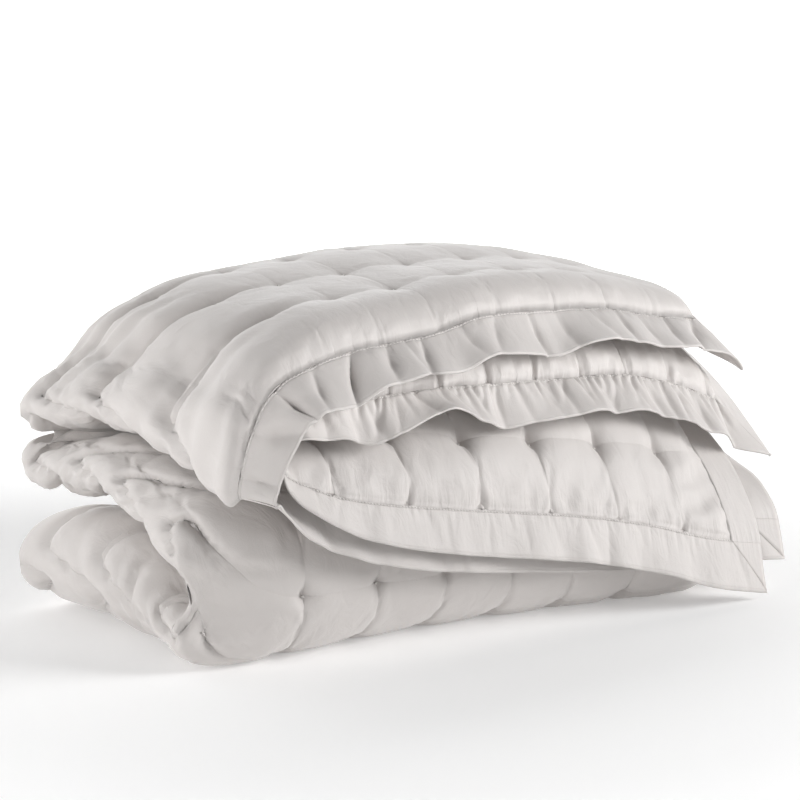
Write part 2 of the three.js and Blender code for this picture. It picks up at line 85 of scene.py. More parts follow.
LAYERS = {  # height of the seam and of the hem edge
    "A": ([290, 318, 346, 360, 373, 379, 383, 397, 393, 385, 365, 351, 340],
          [262, 292, 322, 326, 324, 334, 341, 356, 352, 350, 326, 318, 328]),
    "C": ([264, 298, 306, 322, 326, 322, 321, 316, 310, 304, 282, 244, 212],
          [240, 268, 288, 288, 286, 273, 296, 271, 268, 267, 233, 194, 170]),
    "D": ([226, 236, 252, 235, 214, 201, 182, 165, 147, 123, 93, 74, 60],
          [214, 228, 242, 207, 176, 155, 129, 110, 90, 64, 28, 8, 2]),
    "F": ([218, 226, 232, 226, 206, 189, 168, 152, 138, 124, 112, 102, 92],
          [200, 194, 180, 163, 144, 127, 103, 88, 73, 61, 52, 46, 40]),
}
LAYER_Y = {  # y of the seam and of the hem edge, at x = 0 and per mm of x
    "A": ((-172, 0.07), (-216, 0.05)),
    "C": ((-188, 0.03), (-222, -0.01)),
    "D": ((-233, -0.105), (-250, -0.105)),
    "F": ((-212, -0.085), (-229, -0.085)),
}
ORDER = "FDCA"
REST_ON_F, REST_ON_D = 13.0, 39.0
D_RISE = ([-340, -290, -200, -100, 0, 200, 400], [0, 14, 20, 16, 14, 16, 14])  # of layer D behind its seam
D_OUT = ([-200, -100, 0, 200, 400], [0, 8, 16, 20, 16])
ROLL_OUTER, ROLL_INNER = 79.0, 17.0
BACK_END_OUT = 16.0  # the rolled side near the back fold stands out
PINCH, PINCH_TURN = 60.0, 0.4  # of the rolled side, at the back and front folds, and over how much of their turn
HEM_OUT = ([-382, -340, -300, -250, -200], [30, 28, 20, 8, 0])  # of the outer loop's hem edge, at the left
# How far the tuft columns of the outer loop are drawn round the roll, along the width.
COLUMN_SHIFT = ([-808, -700, -545, -440, -344, -250, -169, -80, 0, 100, 200, 400, 600, 700, 808],
                [0, 20, 36, 36, 41, 50, 66, 70, 60, 46, 33, 26, 34, 36, 0])
ROW_STRETCH = ([-0.75, -0.25, 0.25, 0.75], [1.2, 1.5, 1.0, 1.0])  # cloth per mm where the front fans out


# ---- the folded shape ------------------------------------------------------
def mix(a, b, t):
    return a + (b - a) * t


def ease(t):
    u = np.clip(t, 0, 1)
    return u * u * (3 - 2 * u)


def rounded(t):
    u = np.clip(t, 0, 1)
    return np.sqrt(u * (2 - u))


def read(table, v):
    """A smooth line through a table's rows that never overshoots them."""
    at, column = np.asarray(table[0], float), np.asarray(table[1], float)
    x = np.clip(v, at[0], at[-1])
    h = np.diff(at)
    rise = np.diff(column) / h
    tangent = np.zeros(len(at))
    tangent[0], tangent[-1] = rise[0], rise[-1]
    for k in range(1, len(at) - 1):
        a, b = rise[k - 1], rise[k]
        tangent[k] = 0 if a * b <= 0 else 2 * a * b / (a + b)
    i = np.clip(np.searchsorted(at, x, side="right") - 1, 0, len(at) - 2)
    t = (x - at[i]) / h[i]
    t2, t3 = t * t, t * t * t
    return ((2 * t3 - 3 * t2 + 1) * column[i] + (t3 - 2 * t2 + t) * h[i] * tangent[i]
            + (3 * t2 - 2 * t3) * column[i + 1] + (t3 - t2) * h[i] * tangent[i + 1])


def inward(x):
    return ease((x + 400) / 260)


def sag(x, y):
    return read(SAG, x) * read(SAG_SHARE, y)


def crease_low(x, y):
    return mix(read(LOW_LEFT, y), read(LOW_INSIDE, y), inward(x)) - sag(x, y) / 2


def crease_high(x, y):
    return mix(read(HIGH_LEFT, y), read(HIGH_INSIDE, y), inward(x)) - sag(x, y)


def top_height(x, y):
    shoulder = ease((x + 400) / 180) * (1 - 0.12 * ease((x - 150) / 300))
    left_back = 8 * ease((y + 40) / 180) * (1 - ease((x + 400) / 150))
    return read(TOP_SEAM_LINE, x) + read(CROWN, y) * (0.35 + 0.65 * shoulder) + left_back


def in_top(w):
    return 1 - ease((w - TOP_RUN - 20) / 160)


def across(s, w, m):
    top = in_top(w)
    roll_out = mix(ROLL_INNER, ROLL_OUTER, (m - INNER) / (OUTER - INNER)) * (1 + 0.16 * top)
    outer = m > 0.5
    by_back_fold = np.exp(-((w - TOP_RUN - 30) / 90) ** 2)
    roll_middle = -320 + 30 * top - np.where(outer, 0, 22) - BACK_END_OUT * by_back_fold
    quarter = (np.pi / 2) * np.maximum(roll_out, 20) * 0.92
    angle = np.clip(s / quarter, -1, 1) * (np.pi / 2)
    beyond = np.maximum(np.abs(s) - quarter, 0)
    seam_top = np.where(s < 0, np.where(outer, SEAM_X["A"], SEAM_X["C"]), np.where(outer, SEAM_X["F"], SEAM_X["D"]))
    seam_low = SEAM_X["low"] + 8 * np.cos(5 * m)
    stretch = (mix(seam_low, seam_top, top) - roll_middle) / (FIELD - quarter)
    return roll_middle - roll_out * np.cos(angle) + beyond * stretch, -m * np.sin(angle)


def stretches(x, level):
    p = {}
    p["backY"] = read(BACK_FOLD, x)
    p["backShare"] = read(BACK_FOLD_DEPTH, x)
    p["backZ"] = crease_high(x, p["backY"])
    p["backUp"] = (top_height(x, p["backY"]) - p["backZ"]) * (1 + level) / 2
    p["backDown"] = (p["backZ"] - crease_low(x, p["backY"])) * (1 + level) / 2
    p["backRun"] = np.pi * 0.5 * (p["backUp"] + p["backDown"]) * (0.5 + 0.5 * p["backShare"]) + 26
    p["frontShare"] = read(FRONT_FOLD_DEPTH, x)
    face = read(FRONT_FACE, x)
    p["frontY"] = face + p["frontShare"] * 0.5 * crease_high(x, face)
    p["frontZ"] = crease_low(x, p["frontY"])
    p["frontUp"] = (crease_high(x, p["frontY"]) - p["frontZ"]) * (1 - level) / 2
    p["frontDown"] = p["frontZ"] * (1 - level) / 2
    p["frontRun"] = np.pi * 0.5 * (p["frontUp"] + p["frontDown"]) * (0.5 + 0.5 * p["frontShare"]) + 18
    p["toMiddle"] = TOP_RUN + p["backRun"]
    p["toFront"] = p["toMiddle"] + (p["backY"] - p["frontY"])
    p["toBottom"] = p["toFront"] + p["frontRun"]
    return p


def top_slab(x, level, w, back_y):
    y = back_y - (TOP_RUN - w)
    under = crease_high(x, np.maximum(y, -180))
    return y, mix(under, top_height(x, y), (1 + level) / 2)


def along(x, level, w):
    p = stretches(x, level)
    y, z = top_slab(x, level, np.minimum(w, TOP_RUN), p["backY"])
    back_turn = np.clip(np.pi * (w - TOP_RUN) / p["backRun"], 0, np.pi)
    radius = np.where(np.cos(back_turn) > 0, p["backUp"], p["backDown"])
    in_back = w > TOP_RUN
    y = np.where(in_back, p["backY"] + np.sin(back_turn) * p["backShare"] * 0.5 * (p["backUp"] + p["backDown"]), y)
    z = np.where(in_back, p["backZ"] + radius * np.cos(back_turn), z)
    in_middle = w > p["toMiddle"]
    ym = mix(p["backY"], p["frontY"], np.clip((w - p["toMiddle"]) / (p["toFront"] - p["toMiddle"]), 0, 1))
    y = np.where(in_middle, ym, y)
    z = np.where(in_middle, mix(crease_high(x, ym), crease_low(x, ym), (1 + level) / 2), z)
    in_front = w > p["toFront"]
    turn = np.clip(np.pi * (w - p["toFront"]) / p["frontRun"], 0, np.pi)
    radius = np.where(np.cos(turn) > 0, p["frontUp"], p["frontDown"])
    y = np.where(in_front, p["frontY"] - np.sin(turn) * p["frontShare"] * 0.5 * (p["frontUp"] + p["frontDown"]), y)
    z = np.where(in_front, p["frontZ"] + radius * np.cos(turn), z)
    in_bottom = w > p["toBottom"]
    share = np.clip((w - p["toBottom"]) / np.maximum(HALF_LENGTH - p["toBottom"], 60), 0, 1)
    yb = mix(p["frontY"], read(FAR_FOLD, x), share)
    y = np.where(in_bottom, yb, y)
    z = np.where(in_bottom, crease_low(x, yb) * (1 + level) / 2, z)
    folding = np.exp(-((back_turn - np.pi / 2) / PINCH_TURN) ** 2) \
        + 0.5 * np.exp(-((turn - np.pi / 2) / PINCH_TURN) ** 2)
    return y, z, PINCH * folding * (1 - ease((x + 400) / 150))


def slab_top(x, y):
    """Height of the outside of the lower two slabs under a point in front."""
    p = stretches(x, -1.0)
    depth = p["frontShare"] * 0.5 * (p["frontUp"] + p["frontDown"])
    out = (p["frontY"] - y) / depth
    nose = p["frontZ"] + p["frontUp"] * np.sqrt(np.clip(1 - out * out, 0, 1))
    return np.where(y >= p["frontY"], crease_high(x, y), np.where(out < 1, nose, -1e6))


def front_line(x, level):
    """Seam and hem of the layer at this level, where the front fans out."""
    columns = []
    for name in ORDER:
        (sy, sk), (hy, hk) = LAYER_Y[name]
        columns.append(np.stack([sy + sk * x, read((LAYER_X, LAYERS[name][0]), x),
                                 hy + hk * x, read((LAYER_X, LAYERS[name][1]), x)]))
    step = (np.clip(level, -OUTER, OUTER) + OUTER) / 0.5
    i = np.clip(np.floor(step).astype(int), 0, 2)
    t = ease(step - i)
    out = 0
    for k in range(4):
        weight = np.where(i == k, 1 - t, 0) + np.where(i + 1 == k, t, 0)
        out = out + columns[k] * weight
    return out


def softly(a, b):
    return (a + b + np.sqrt((a - b) ** 2 + 30)) / 2


def middle(s, w, m):
    """The middle of the cloth at a point of the flat quilt."""
    x, level = across(s, w, m)
    fan_end = BORDER + FAN_RUN
    y, z, pinch = along(x, level, np.maximum(w, fan_end))
    seam_y, seam_z, hem_y, hem_z = front_line(x, level)
    back_y = read(BACK_FOLD, x)
    far_y, far_z = top_slab(x, level, fan_end, back_y)
    past_z = top_slab(x, level, fan_end + 8, back_y)[1]
    t = np.clip((w - BORDER) / FAN_RUN, 0, 1)
    t2, t3 = t * t, t * t * t

    def bend(start, start_slope, end, end_slope):
        return ((2 * t3 - 3 * t2 + 1) * start + (t3 - 2 * t2 + t) * FAN_RUN * start_slope
                + (3 * t2 - 2 * t3) * end + (t3 - t2) * FAN_RUN * end_slope)

    fan_y = bend(seam_y, (seam_y - hem_y) / BORDER, far_y, 1.0)
    fan_z = bend(seam_z, (seam_z - hem_z) / BORDER, far_z, (past_z - far_z) / 8)
    in_d = np.clip(1 - 2 * np.abs(level + INNER), 0, 1) * np.sin(np.pi * t) ** 2
    fan_z = fan_z + read(D_RISE, x) * in_d
    fan_y = fan_y - read(D_OUT, x) * in_d
    rest = slab_top(x, fan_y) + np.where(m > 0.5, REST_ON_F, REST_ON_D)
    lifted = softly(fan_z, np.maximum(rest, -1e5))
    fan_z = np.where((fan_z > rest + 12) | (rest < -1e4), fan_z, lifted)
    in_fan = (w < fan_end) & (w >= BORDER)
    y = np.where(in_fan, fan_y, y)
    z = np.where(in_fan, fan_z, z)
    u = 1 - w / BORDER
    in_border = w < BORDER
    y = np.where(in_border, mix(seam_y, hem_y, u), y)
    z = np.where(in_border, mix(seam_z, hem_z, u), z)
    outer = m > 0.5
    flare = np.where(in_border & outer, u, 0) * read(HEM_OUT, x)
    # the side border of the top layer hangs over the ones below
    hang = np.where(outer & (s < 0), np.clip((np.abs(s) - FIELD) / BORDER, 0, 1.2), 0)
    hanging = (0.85 + 0.15 * ease(w / 150)) * in_top(w)
    x = x + pinch + flare - 24 * hanging * hang ** 2
    y = y - 0.4 * flare
    z = z - 44 * hanging * hang ** 1.5
    return np.stack(np.broadcast_arrays(x, y, z), -1)


def spread(*values):
    return [np.array(v, float) for v in np.broadcast_arrays(*values)]


def cloth(s, w, m, turn=0.0):
    s, w, m, turn = spread(s, w, m, turn)
    p = middle(s, w, m)
    p[..., 1] += FAR_FOLD_OUT * np.sin(turn)
    return p


def facing(s, w, m, turn, d=4.0):
    """Square to the cloth, towards its back: under A, over C, under D and over F."""
    s, w, m, turn = spread(s, w, m, turn)
    along_s = cloth(s + d, w, m, turn) - cloth(s - d, w, m, turn)
    folded = turn > 0
    e = 0.25
    t0, t1 = np.maximum(turn - e, 0), np.minimum(turn + e, np.pi)
    sign = np.where(m >= 0.5, 1.0, -1.0)
    w0 = np.clip(w - d * sign, -40, HALF_LENGTH)
    w1 = np.clip(w + d * sign, -40, HALF_LENGTH)
    before = cloth(s, np.where(folded, w, w0), np.where(folded, 0.5 + 0.25 * np.cos(t0), m), np.where(folded, t0, 0))
    after = cloth(s, np.where(folded, w, w1), np.where(folded, 0.5 + 0.25 * np.cos(t1), m), np.where(folded, t1, 0))
    n = np.cross(along_s, after - before)
    return n / (np.linalg.norm(n, axis=-1, keepdims=True) + 1e-9)


def room(s, w, m, turn, here, n):
    """How far the neighbouring layers lie, square to the cloth."""
    def square(other):
        return np.abs(np.sum((other - here) * n, -1))
    outer = m > 0.5
    # the same place on the roll of the next loop
    top = 1 + 0.16 * in_top(w)
    big, small = (np.pi / 2) * 0.92 * ROLL_OUTER * top, (np.pi / 2) * 0.92 * np.maximum(ROLL_INNER * top, 20)
    here_quarter, next_quarter = np.where(outer, big, small), np.where(outer, small, big)
    size = np.abs(s)
    beyond = (size - here_quarter) * (FIELD - next_quarter) / (FIELD - here_quarter)
    beside = np.sign(s) * np.where(size < here_quarter, size * next_quarter / here_quarter, next_quarter + beyond)
    next_loop = cloth(beside, w, np.where(outer, INNER, OUTER))
    least = square(next_loop)
    apart = np.linalg.norm(next_loop - here, axis=-1)
    rolled = outer & (s < 30)
    along_roll = 0.6 * (1 - ease((size - here_quarter * 0.7) / 120))
    least = np.where(rolled, mix(least, apart, along_roll), least)
    other_half = square(cloth(-s, w, INNER))
    least = np.where(~outer & (np.abs(s) > 45), np.minimum(least, other_half), least)
    over = here[..., 2] - slab_top(here[..., 0], here[..., 1])
    # over the middle slab, from inside the roll to the side seam
    away = 200 * (1 - ease((here[..., 0] + 300) / 120)) + 200 * ease((w - BORDER - 0.7 * FAN_RUN) / (0.3 * FAN_RUN))
    under = 2 * np.maximum(over, 0) * np.abs(n[..., 2]) + away
    least = np.where((s > 0) & outer & (w < BORDER + FAN_RUN), np.minimum(least, under), least)
    return np.where(turn > 0, PADDED_LOW, least)


def pattern(s, w, m):
    """Where a point is among the tufts, whose columns and rows are not drawn evenly round the folds."""
    level = across(s, w, m)[1]
    inner = np.where(s > 0, FIELD - 22 - (FIELD - s) * 0.82, 0.18 * FIELD - 22 + s * 1.18)
    columns = np.where(m > 0.5, s + read(COLUMN_SHIFT, s), inner)
    rows = w + (read(ROW_STRETCH, level) - 1) * np.clip(w - BORDER, 0, FAN_RUN)
    return columns, rows


def from_tuft(s, w, m):
    columns, rows = pattern(s, w, m)
    return ((columns + PITCH / 2) % PITCH - PITCH / 2,
            (rows - BORDER + PITCH / 2) % PITCH - PITCH / 2, columns, rows)


def round_roll(s, m):
    """1 on the rolled side of the outer loop, falling away to either side."""
    return np.exp(-((s + 75) / 165) ** 4) * (m > 0.5)


def padding(s, w, m, free):
    """Thickness of the padded cloth: full in the cells, drawn in at tufts, channels and seams."""
    full = np.minimum(mix(PADDED_LOW, PADDED_TOP, in_top(w)), np.maximum(free - APART, THINNEST))
    x, level = across(s, w, m)
    full = full * (1 - 0.75 * along(x, level, np.maximum(w, BORDER + FAN_RUN))[2] / PINCH)
    ds, dw, _, _ = from_tuft(s, w, m)
    taut = (m > 0.5) * in_top(w) * ease((-s - 90) / 160)
    rolled = round_roll(s, m)
    tuft = np.exp(-np.sqrt((ds / (1 + 1.2 * rolled)) ** 2 + dw ** 2 + 9) / 10) * 1.3 * (0.72 - 0.42 * taut)
    channel_s = np.exp(-(ds / 13) ** 2) * (0.06 + 0.04 * np.cos(2 * np.pi * dw / PITCH)) * (1 - 0.85 * taut) * (1 - rolled)
    channel_w = np.exp(-(dw / 13) ** 2) * (0.06 + 0.14 * rolled) * (1 - 0.5 * taut)
    edges = rounded((w - BORDER) / EDGE_ROUND) * rounded((FIELD - np.abs(s)) / EDGE_ROUND)
    pulled = 1 - (1 - 0.62 * tuft) * (1 - channel_s) * (1 - channel_w)
    return SEAM_THICK + (full - SEAM_THICK) * edges * (1 - pulled)


# ---- mesh helpers ----------------------------------------------------------
def to_metres(points):
    return (points - MIDDLE) / 1000.0


def make_object(name, points, faces, uv=None, cells=None, lines=None):
    """points in metres, faces as lists of indices; uv is one flat-cloth coordinate pair per point,
    cells the same in tuft cells, and lines how clear the columns and the rows are."""
    mesh = bpy.data.meshes.new(name)
    mesh.from_pydata(points.tolist(), [], faces)
    mesh.update()
    for layer_name, values in (("flat", uv), ("cells", cells), ("lines", lines)):
        if values is not None:
            layer = mesh.uv_layers.new(name=layer_name)
            loops = np.empty(len(mesh.loops), dtype=np.int32)
            mesh.loops.foreach_get("vertex_index", loops)
            layer.data.foreach_set("uv", np.ascontiguousarray(values[loops], dtype=np.float32).ravel())
    mesh.polygons.foreach_set("use_smooth", np.ones(len(mesh.polygons), dtype=bool))
    obj = bpy.data.objects.new(name, mesh)
    bpy.context.scene.collection.objects.link(obj)
    return obj


def zip_rows(a, at_a, b, at_b, flip, faces):
    """Joins two rows of points, which may have different numbers of points."""
    i = j = 0
    na, nb = len(a) - 1, len(b) - 1
    while i < na or j < nb:
        both = i < na and j < nb and abs(at_a[i + 1] - at_b[j + 1]) < 1e-6 and abs(at_a[i] - at_b[j]) < 1e-6
        if both:
            f = (a[i], a[i + 1], b[j + 1], b[j])
            i += 1
            j += 1
        elif j >= nb or (i < na and at_a[i + 1] <= at_b[j + 1]):
            f = (a[i], a[i + 1], b[j])
            i += 1
        else:
            f = (a[i], b[j + 1], b[j])
            j += 1
        faces.append(f[::-1] if flip else f)


# ---- the padded field ------------------------------------------------------
STEP = PITCH / 20
GRID = np.arange(-160, 161)


def stations(fine_from, fine_to):
    """Grid places across the quilt: every one between the two, fewer elsewhere."""
    keep = []
    for k in GRID:
        near_side = abs(k) > 150 and k % 2 == 0
        near_roll = abs(k) <= 30 and (k % 2 == 0 or abs(k) <= 10)
        if fine_from <= k <= fine_to or k % 5 == 0 or near_side or near_roll:
            keep.append(k)
    return np.array(keep)


def column_knots(m):
    """s of the tuft columns -8 to 8 of a loop; the outermost two are the side seams."""
    fine = np.linspace(-FIELD, FIELD, 3233)
    columns = pattern(fine, np.full(len(fine), 500.0), np.full(len(fine), m))[0]
    knots = np.interp(np.arange(-8, 9) * PITCH, columns, fine)
    knots[0], knots[-1] = -FIELD, FIELD
    return knots


KNOTS = {m: column_knots(m) for m in (INNER, OUTER)}


def place_across(k, m):
    """s of grid place k: 20 to a tuft cell, closer together beside a column of tufts."""
    cell = np.clip(np.floor(k / 20 + 8).astype(int), 0, 15)
    part = k / 20 + 8 - cell
    eased = part - 0.105 * np.sin(2 * np.pi * part)
    inner, outer = (KNOTS[q][cell] + (KNOTS[q][cell + 1] - KNOTS[q][cell]) * eased for q in (INNER, OUTER))
    return mix(inner, outer, (m - INNER) / (OUTER - INNER))


EVERY = stations(-160, 160)
UPPER = stations(-160, 30)
LOWER = stations(-30, 160)
ROLL = stations(-30, 30)
FEW = stations(1, 0)
TURNS = np.linspace(0, np.pi, 8)[1:-1]


def row_places(fine_to, coarse_step):
    """w of the rows: the fine grid as far as fine_to, then every coarse_step of it."""
    last = int((HALF_LENGTH - BORDER) / STEP - 1)
    ks = [k for k in range(last + 1) if BORDER + k * STEP <= fine_to or k % coarse_step == 0]
    return [BORDER + k * STEP for k in ks] + [HALF_LENGTH]


def face_rows():
    rows = []
    for w in row_places(1062, 2):
        where = UPPER if w < 680 else EVERY if w < 862 else LOWER if w < 1064 else ROLL
        rows.append((w, OUTER, 0.0, EVERY if w == BORDER else where))
    rows += [(HALF_LENGTH, 0.5 + 0.25 * np.cos(t), t, ROLL) for t in TURNS]
    for w in reversed(row_places(262, 5)):
        rows.append((w, INNER, 0.0, EVERY if w == BORDER else LOWER if w < 264 else FEW))
    return rows


def back_rows():
    rows = []
    for w in row_places(150, 5):
        rows.append((w, OUTER, 0.0, EVERY if w < 152 else FEW))
    rows += [(HALF_LENGTH, 0.5 + 0.25 * np.cos(t), t, FEW) for t in TURNS]
    for w in reversed(row_places(175, 5)):
        rows.append((w, INNER, 0.0, EVERY if w == BORDER else UPPER if w < 177 else FEW))
    return rows


def build_body():
    """Two skins over the same middle surface, closed along the seams."""
    faces = []
    chains = []
    parts = []
    count = 0
    for side, rows in ((-1.0, face_rows()), (1.0, back_rows())):
        ids = []
        s_all, w_all, m_all, t_all = [], [], [], []
        for w, m, turn, where in rows:
            n = len(where)
            ids.append(np.arange(count, count + n))
            count += n
            s_all.append(place_across(where, m))
            w_all.append(np.full(n, w))
            m_all.append(np.full(n, m))
            t_all.append(np.full(n, turn))
        s, w, m, t = (np.concatenate(q) for q in (s_all, w_all, m_all, t_all))
        parts.append((np.full(len(s), side), s, w, m, t))
        flip = side < 0
        for k in range(len(rows) - 1):
            zip_rows(ids[k], rows[k][3] * 1.0, ids[k + 1], rows[k + 1][3] * 1.0, flip, faces)
        run = np.array([r[0] - BORDER if r[1] > 0.6 and r[2] == 0 else
                        HALF_LENGTH + 40 * r[2] if r[2] > 0 else
                        2 * HALF_LENGTH + 400 - r[0] for r in rows])
        chains.append((ids, run))
    (fa, ra), (ba, rb) = chains
    zip_rows([q[0] for q in fa], ra, [q[0] for q in ba], rb, False, faces)
    zip_rows([q[-1] for q in fa], ra, [q[-1] for q in ba], rb, True, faces)
    zip_rows(fa[0], EVERY * 1.0, ba[0], EVERY * 1.0, True, faces)
    zip_rows(fa[-1], EVERY * 1.0, ba[-1], EVERY * 1.0, False, faces)
    side, s, w, m, t = (np.concatenate(q) for q in zip(*parts))
    return side, s, w, m, t, faces


def smooth_noise(s, w, size, seed, octaves=2):
    """Gentle random hills on the flat quilt, about 1 high, `size` millimetres across."""
    rng = np.random.default_rng(seed)
    out = np.zeros(np.broadcast(s, w).shape)
    for o in range(octaves):
        scale = size / 2 ** o
        for _ in range(7):
            a = rng.uniform(0, 2 * np.pi)
            k = rng.uniform(0.6, 1.4) * 2 * np.pi / scale / 2
            out = out + np.sin(k * (np.cos(a) * s + np.sin(a) * w) + rng.uniform(0, 2 * np.pi)) / 2 ** o
    return out / 3.2


def creases(rng, begin, end, gap):
    """Random creases along a line: place, depth 0.4-1, width, length and slant of each."""
    places = []
    at = begin + rng.uniform(0, gap[1])
    while at < end:
        places.append(at)
        at += rng.uniform(*gap)
    n = len(places)
    return np.stack([places, rng.uniform(0.4, 1.0, n), rng.uniform(2.6, 5.2, n),
                     rng.uniform(0.4, 1.0, n), rng.uniform(-0.5, 0.5, n)], -1)


# Creases at the seams of the four layers, by loop and side of the roll.
SEAM_CREASES = {}
for _name, _m, _sign, _gap in (("A", OUTER, -1, (16, 46)), ("C", INNER, -1, (9, 24)),
                               ("D", INNER, 1, (10, 30)), ("F", OUTER, 1, (12, 34))):
    SEAM_CREASES[_name] = (_m, _sign, creases(np.random.default_rng(ord(_name)), 20, FIELD, _gap))
SEAM_DEPTH = {"A": 2.6, "C": 5.5, "D": 3.6, "F": 2.6}
SEAM_REACH = {"A": 22.0, "C": 48.0, "D": 42.0, "F": 40.0}


def seam_creases(s, w, m, reach_scale=1.0, from_seam=None):
    """Depth of the creases that start at the end seams."""
    out = np.zeros(np.shape(s))
    run = np.abs(w - BORDER) if from_seam is None else from_seam
    for name, (loop, sign, rows) in SEAM_CREASES.items():
        here = (np.abs(m - loop) < 0.01) & (np.sign(s) == sign) & (run < 3 * SEAM_REACH[name])
        a, r = np.abs(s[here]), run[here]
        depth = np.zeros(a.shape)
        for at, deep, width, length, slant in rows:
            reach = SEAM_REACH[name] * length * reach_scale
            middle_line = at + slant * r
            depth += deep * np.exp(-((a - middle_line) / (width + 0.06 * r)) ** 2 - (r / reach) ** 1.5)
        # the cloth between the creases stands up by what they take in
        out[here] += (depth - 0.45 * np.exp(-(r / SEAM_REACH[name]) ** 1.5)) * SEAM_DEPTH[name]
    return out


KNOT = float(stretches(-400.0, 0.0)["toBottom"])  # w of the end of the front fold, on the roll
ROLL_CREASES = np.concatenate([creases(np.random.default_rng(5), 70, 1150, (15, 38)),
                               creases(np.random.default_rng(15), KNOT + 4, KNOT + 100, (16, 24)) * [1, 2.6, 0.9, 1, 0.4]])
ROLL_MIDDLES = np.random.default_rng(6).uniform(-110, 90, len(ROLL_CREASES))
FRONT_CREASES = creases(np.random.default_rng(8), 30, 800, (14, 40))
FRONT_MIDDLES = np.random.default_rng(9).uniform(700, 1010, len(FRONT_CREASES))


def roll_creases(s, w, m):
    """Creases round the roll, and up the front of the lower slabs."""
    out = np.zeros(np.shape(s))
    here = (m > 0.74) & (np.abs(s) < 260)
    a, r = s[here], w[here]
    depth = np.zeros(a.shape)
    for (at, deep, width, length, slant), centre in zip(ROLL_CREASES, ROLL_MIDDLES):
        depth += deep * np.exp(-((r - at - 0.5 * slant * (a - centre)) / (width * 2.1)) ** 2
                               - ((a - centre) / (115 * length)) ** 2)
    out[here] += depth * 4.0 * (1 + 0.9 * (1 - ease((r - 300) / 120)) - 0.35 * np.exp(-((r - 610) / 140) ** 2))
    here = (m > 0.74) & (s > 0) & (w > 600) & (w < 1062)
    a, r = s[here], w[here]
    depth = np.zeros(a.shape)
    for (at, deep, width, length, slant), centre in zip(FRONT_CREASES, FRONT_MIDDLES):
        bow = 0.0022 * (r - centre) ** 2
        depth += deep * np.exp(-((a - at - 0.3 * slant * (r - centre) - bow) / (width * 1.2)) ** 2
                               - ((r - centre) / (75 * length)) ** 2)
    out[here] += depth * 2.4
    return out


TUFT_RNG = np.random.default_rng(17)
RAY_ANGLE = TUFT_RNG.uniform(0, 2 * np.pi, (2, 20, 16, 6))
RAY_DEPTH = TUFT_RNG.uniform(0.3, 1.0, (2, 20, 16, 6))
RAY_LENGTH = TUFT_RNG.uniform(12, 30, (2, 20, 16, 6))


def tautness(s, w, m):
    """Small on the flat of the top, 1 where the cloth is slack."""
    upper = (m > 0.5) * in_top(w) * ease((-s - 90) / 160)
    return 1 - 0.72 * upper


def drawn_in(s, w, m):
    """Depth in millimetres of the fine creases at columns, rows, tufts and seams."""
    ds, dw, columns, rows = from_tuft(s, w, m)
    slack = tautness(s, w, m)
    ds = ds + 3.0 * np.sin(2 * np.pi * dw / PITCH + 0.7 * np.round(columns / PITCH))
    from_end = np.maximum(w - BORDER, 0)
    in_field = np.clip((FIELD - np.abs(s)) / 14, 0, 1)
    rolled = round_roll(s, m)
    column = np.exp(-np.abs(ds) / 4.5) * (0.9 + 2.2 * np.exp(-(dw / 24) ** 2) + 1.6 * np.exp(-from_end / 24)) \
        * (1 - 0.92 * rolled)
    row = (np.exp(-np.abs(dw) / 5.5) * (1.0 + 2.0 * np.exp(-(ds / 22) ** 2) + 2.0 * rolled)
           + np.exp(-np.abs(dw) / 3.8) * 9.0 * rolled) \
        * np.clip(from_end / 40, 0, 1)
    r = np.sqrt(ds ** 2 + dw ** 2)
    near = (np.abs(columns) < FIELD - 50) & (rows > BORDER + 50)
    tuft = 4.2 * np.exp(-r / 6.5) * near
    ic = np.clip(np.round(columns / PITCH).astype(int) + 9, 0, 19)
    ir = np.clip(np.round((rows - BORDER) / PITCH).astype(int), 0, 15)
    im = (m > 0.5).astype(int)
    rays = np.zeros(np.shape(s))
    for j in range(6):
        a, deep, length = RAY_ANGLE[im, ic, ir, j], RAY_DEPTH[im, ic, ir, j], RAY_LENGTH[im, ic, ir, j]
        u = ds * np.cos(a) + dw * np.sin(a)
        v = -ds * np.sin(a) + dw * np.cos(a)
        rays += deep * np.exp(-(v / 3.2) ** 2) * np.clip(u / 5, 0, 1) * np.exp(-(u / length) ** 2) * (u > 0)
    return in_field * (slack * (column + row + 2.2 * rays * near * slack) + tuft * (0.3 + 0.7 * slack)) \
        + in_field * (seam_creases(s, w, m) * np.clip((w - BORDER) / 3, 0, 1) + roll_creases(s, w, m) * (0.4 + 0.6 * slack))


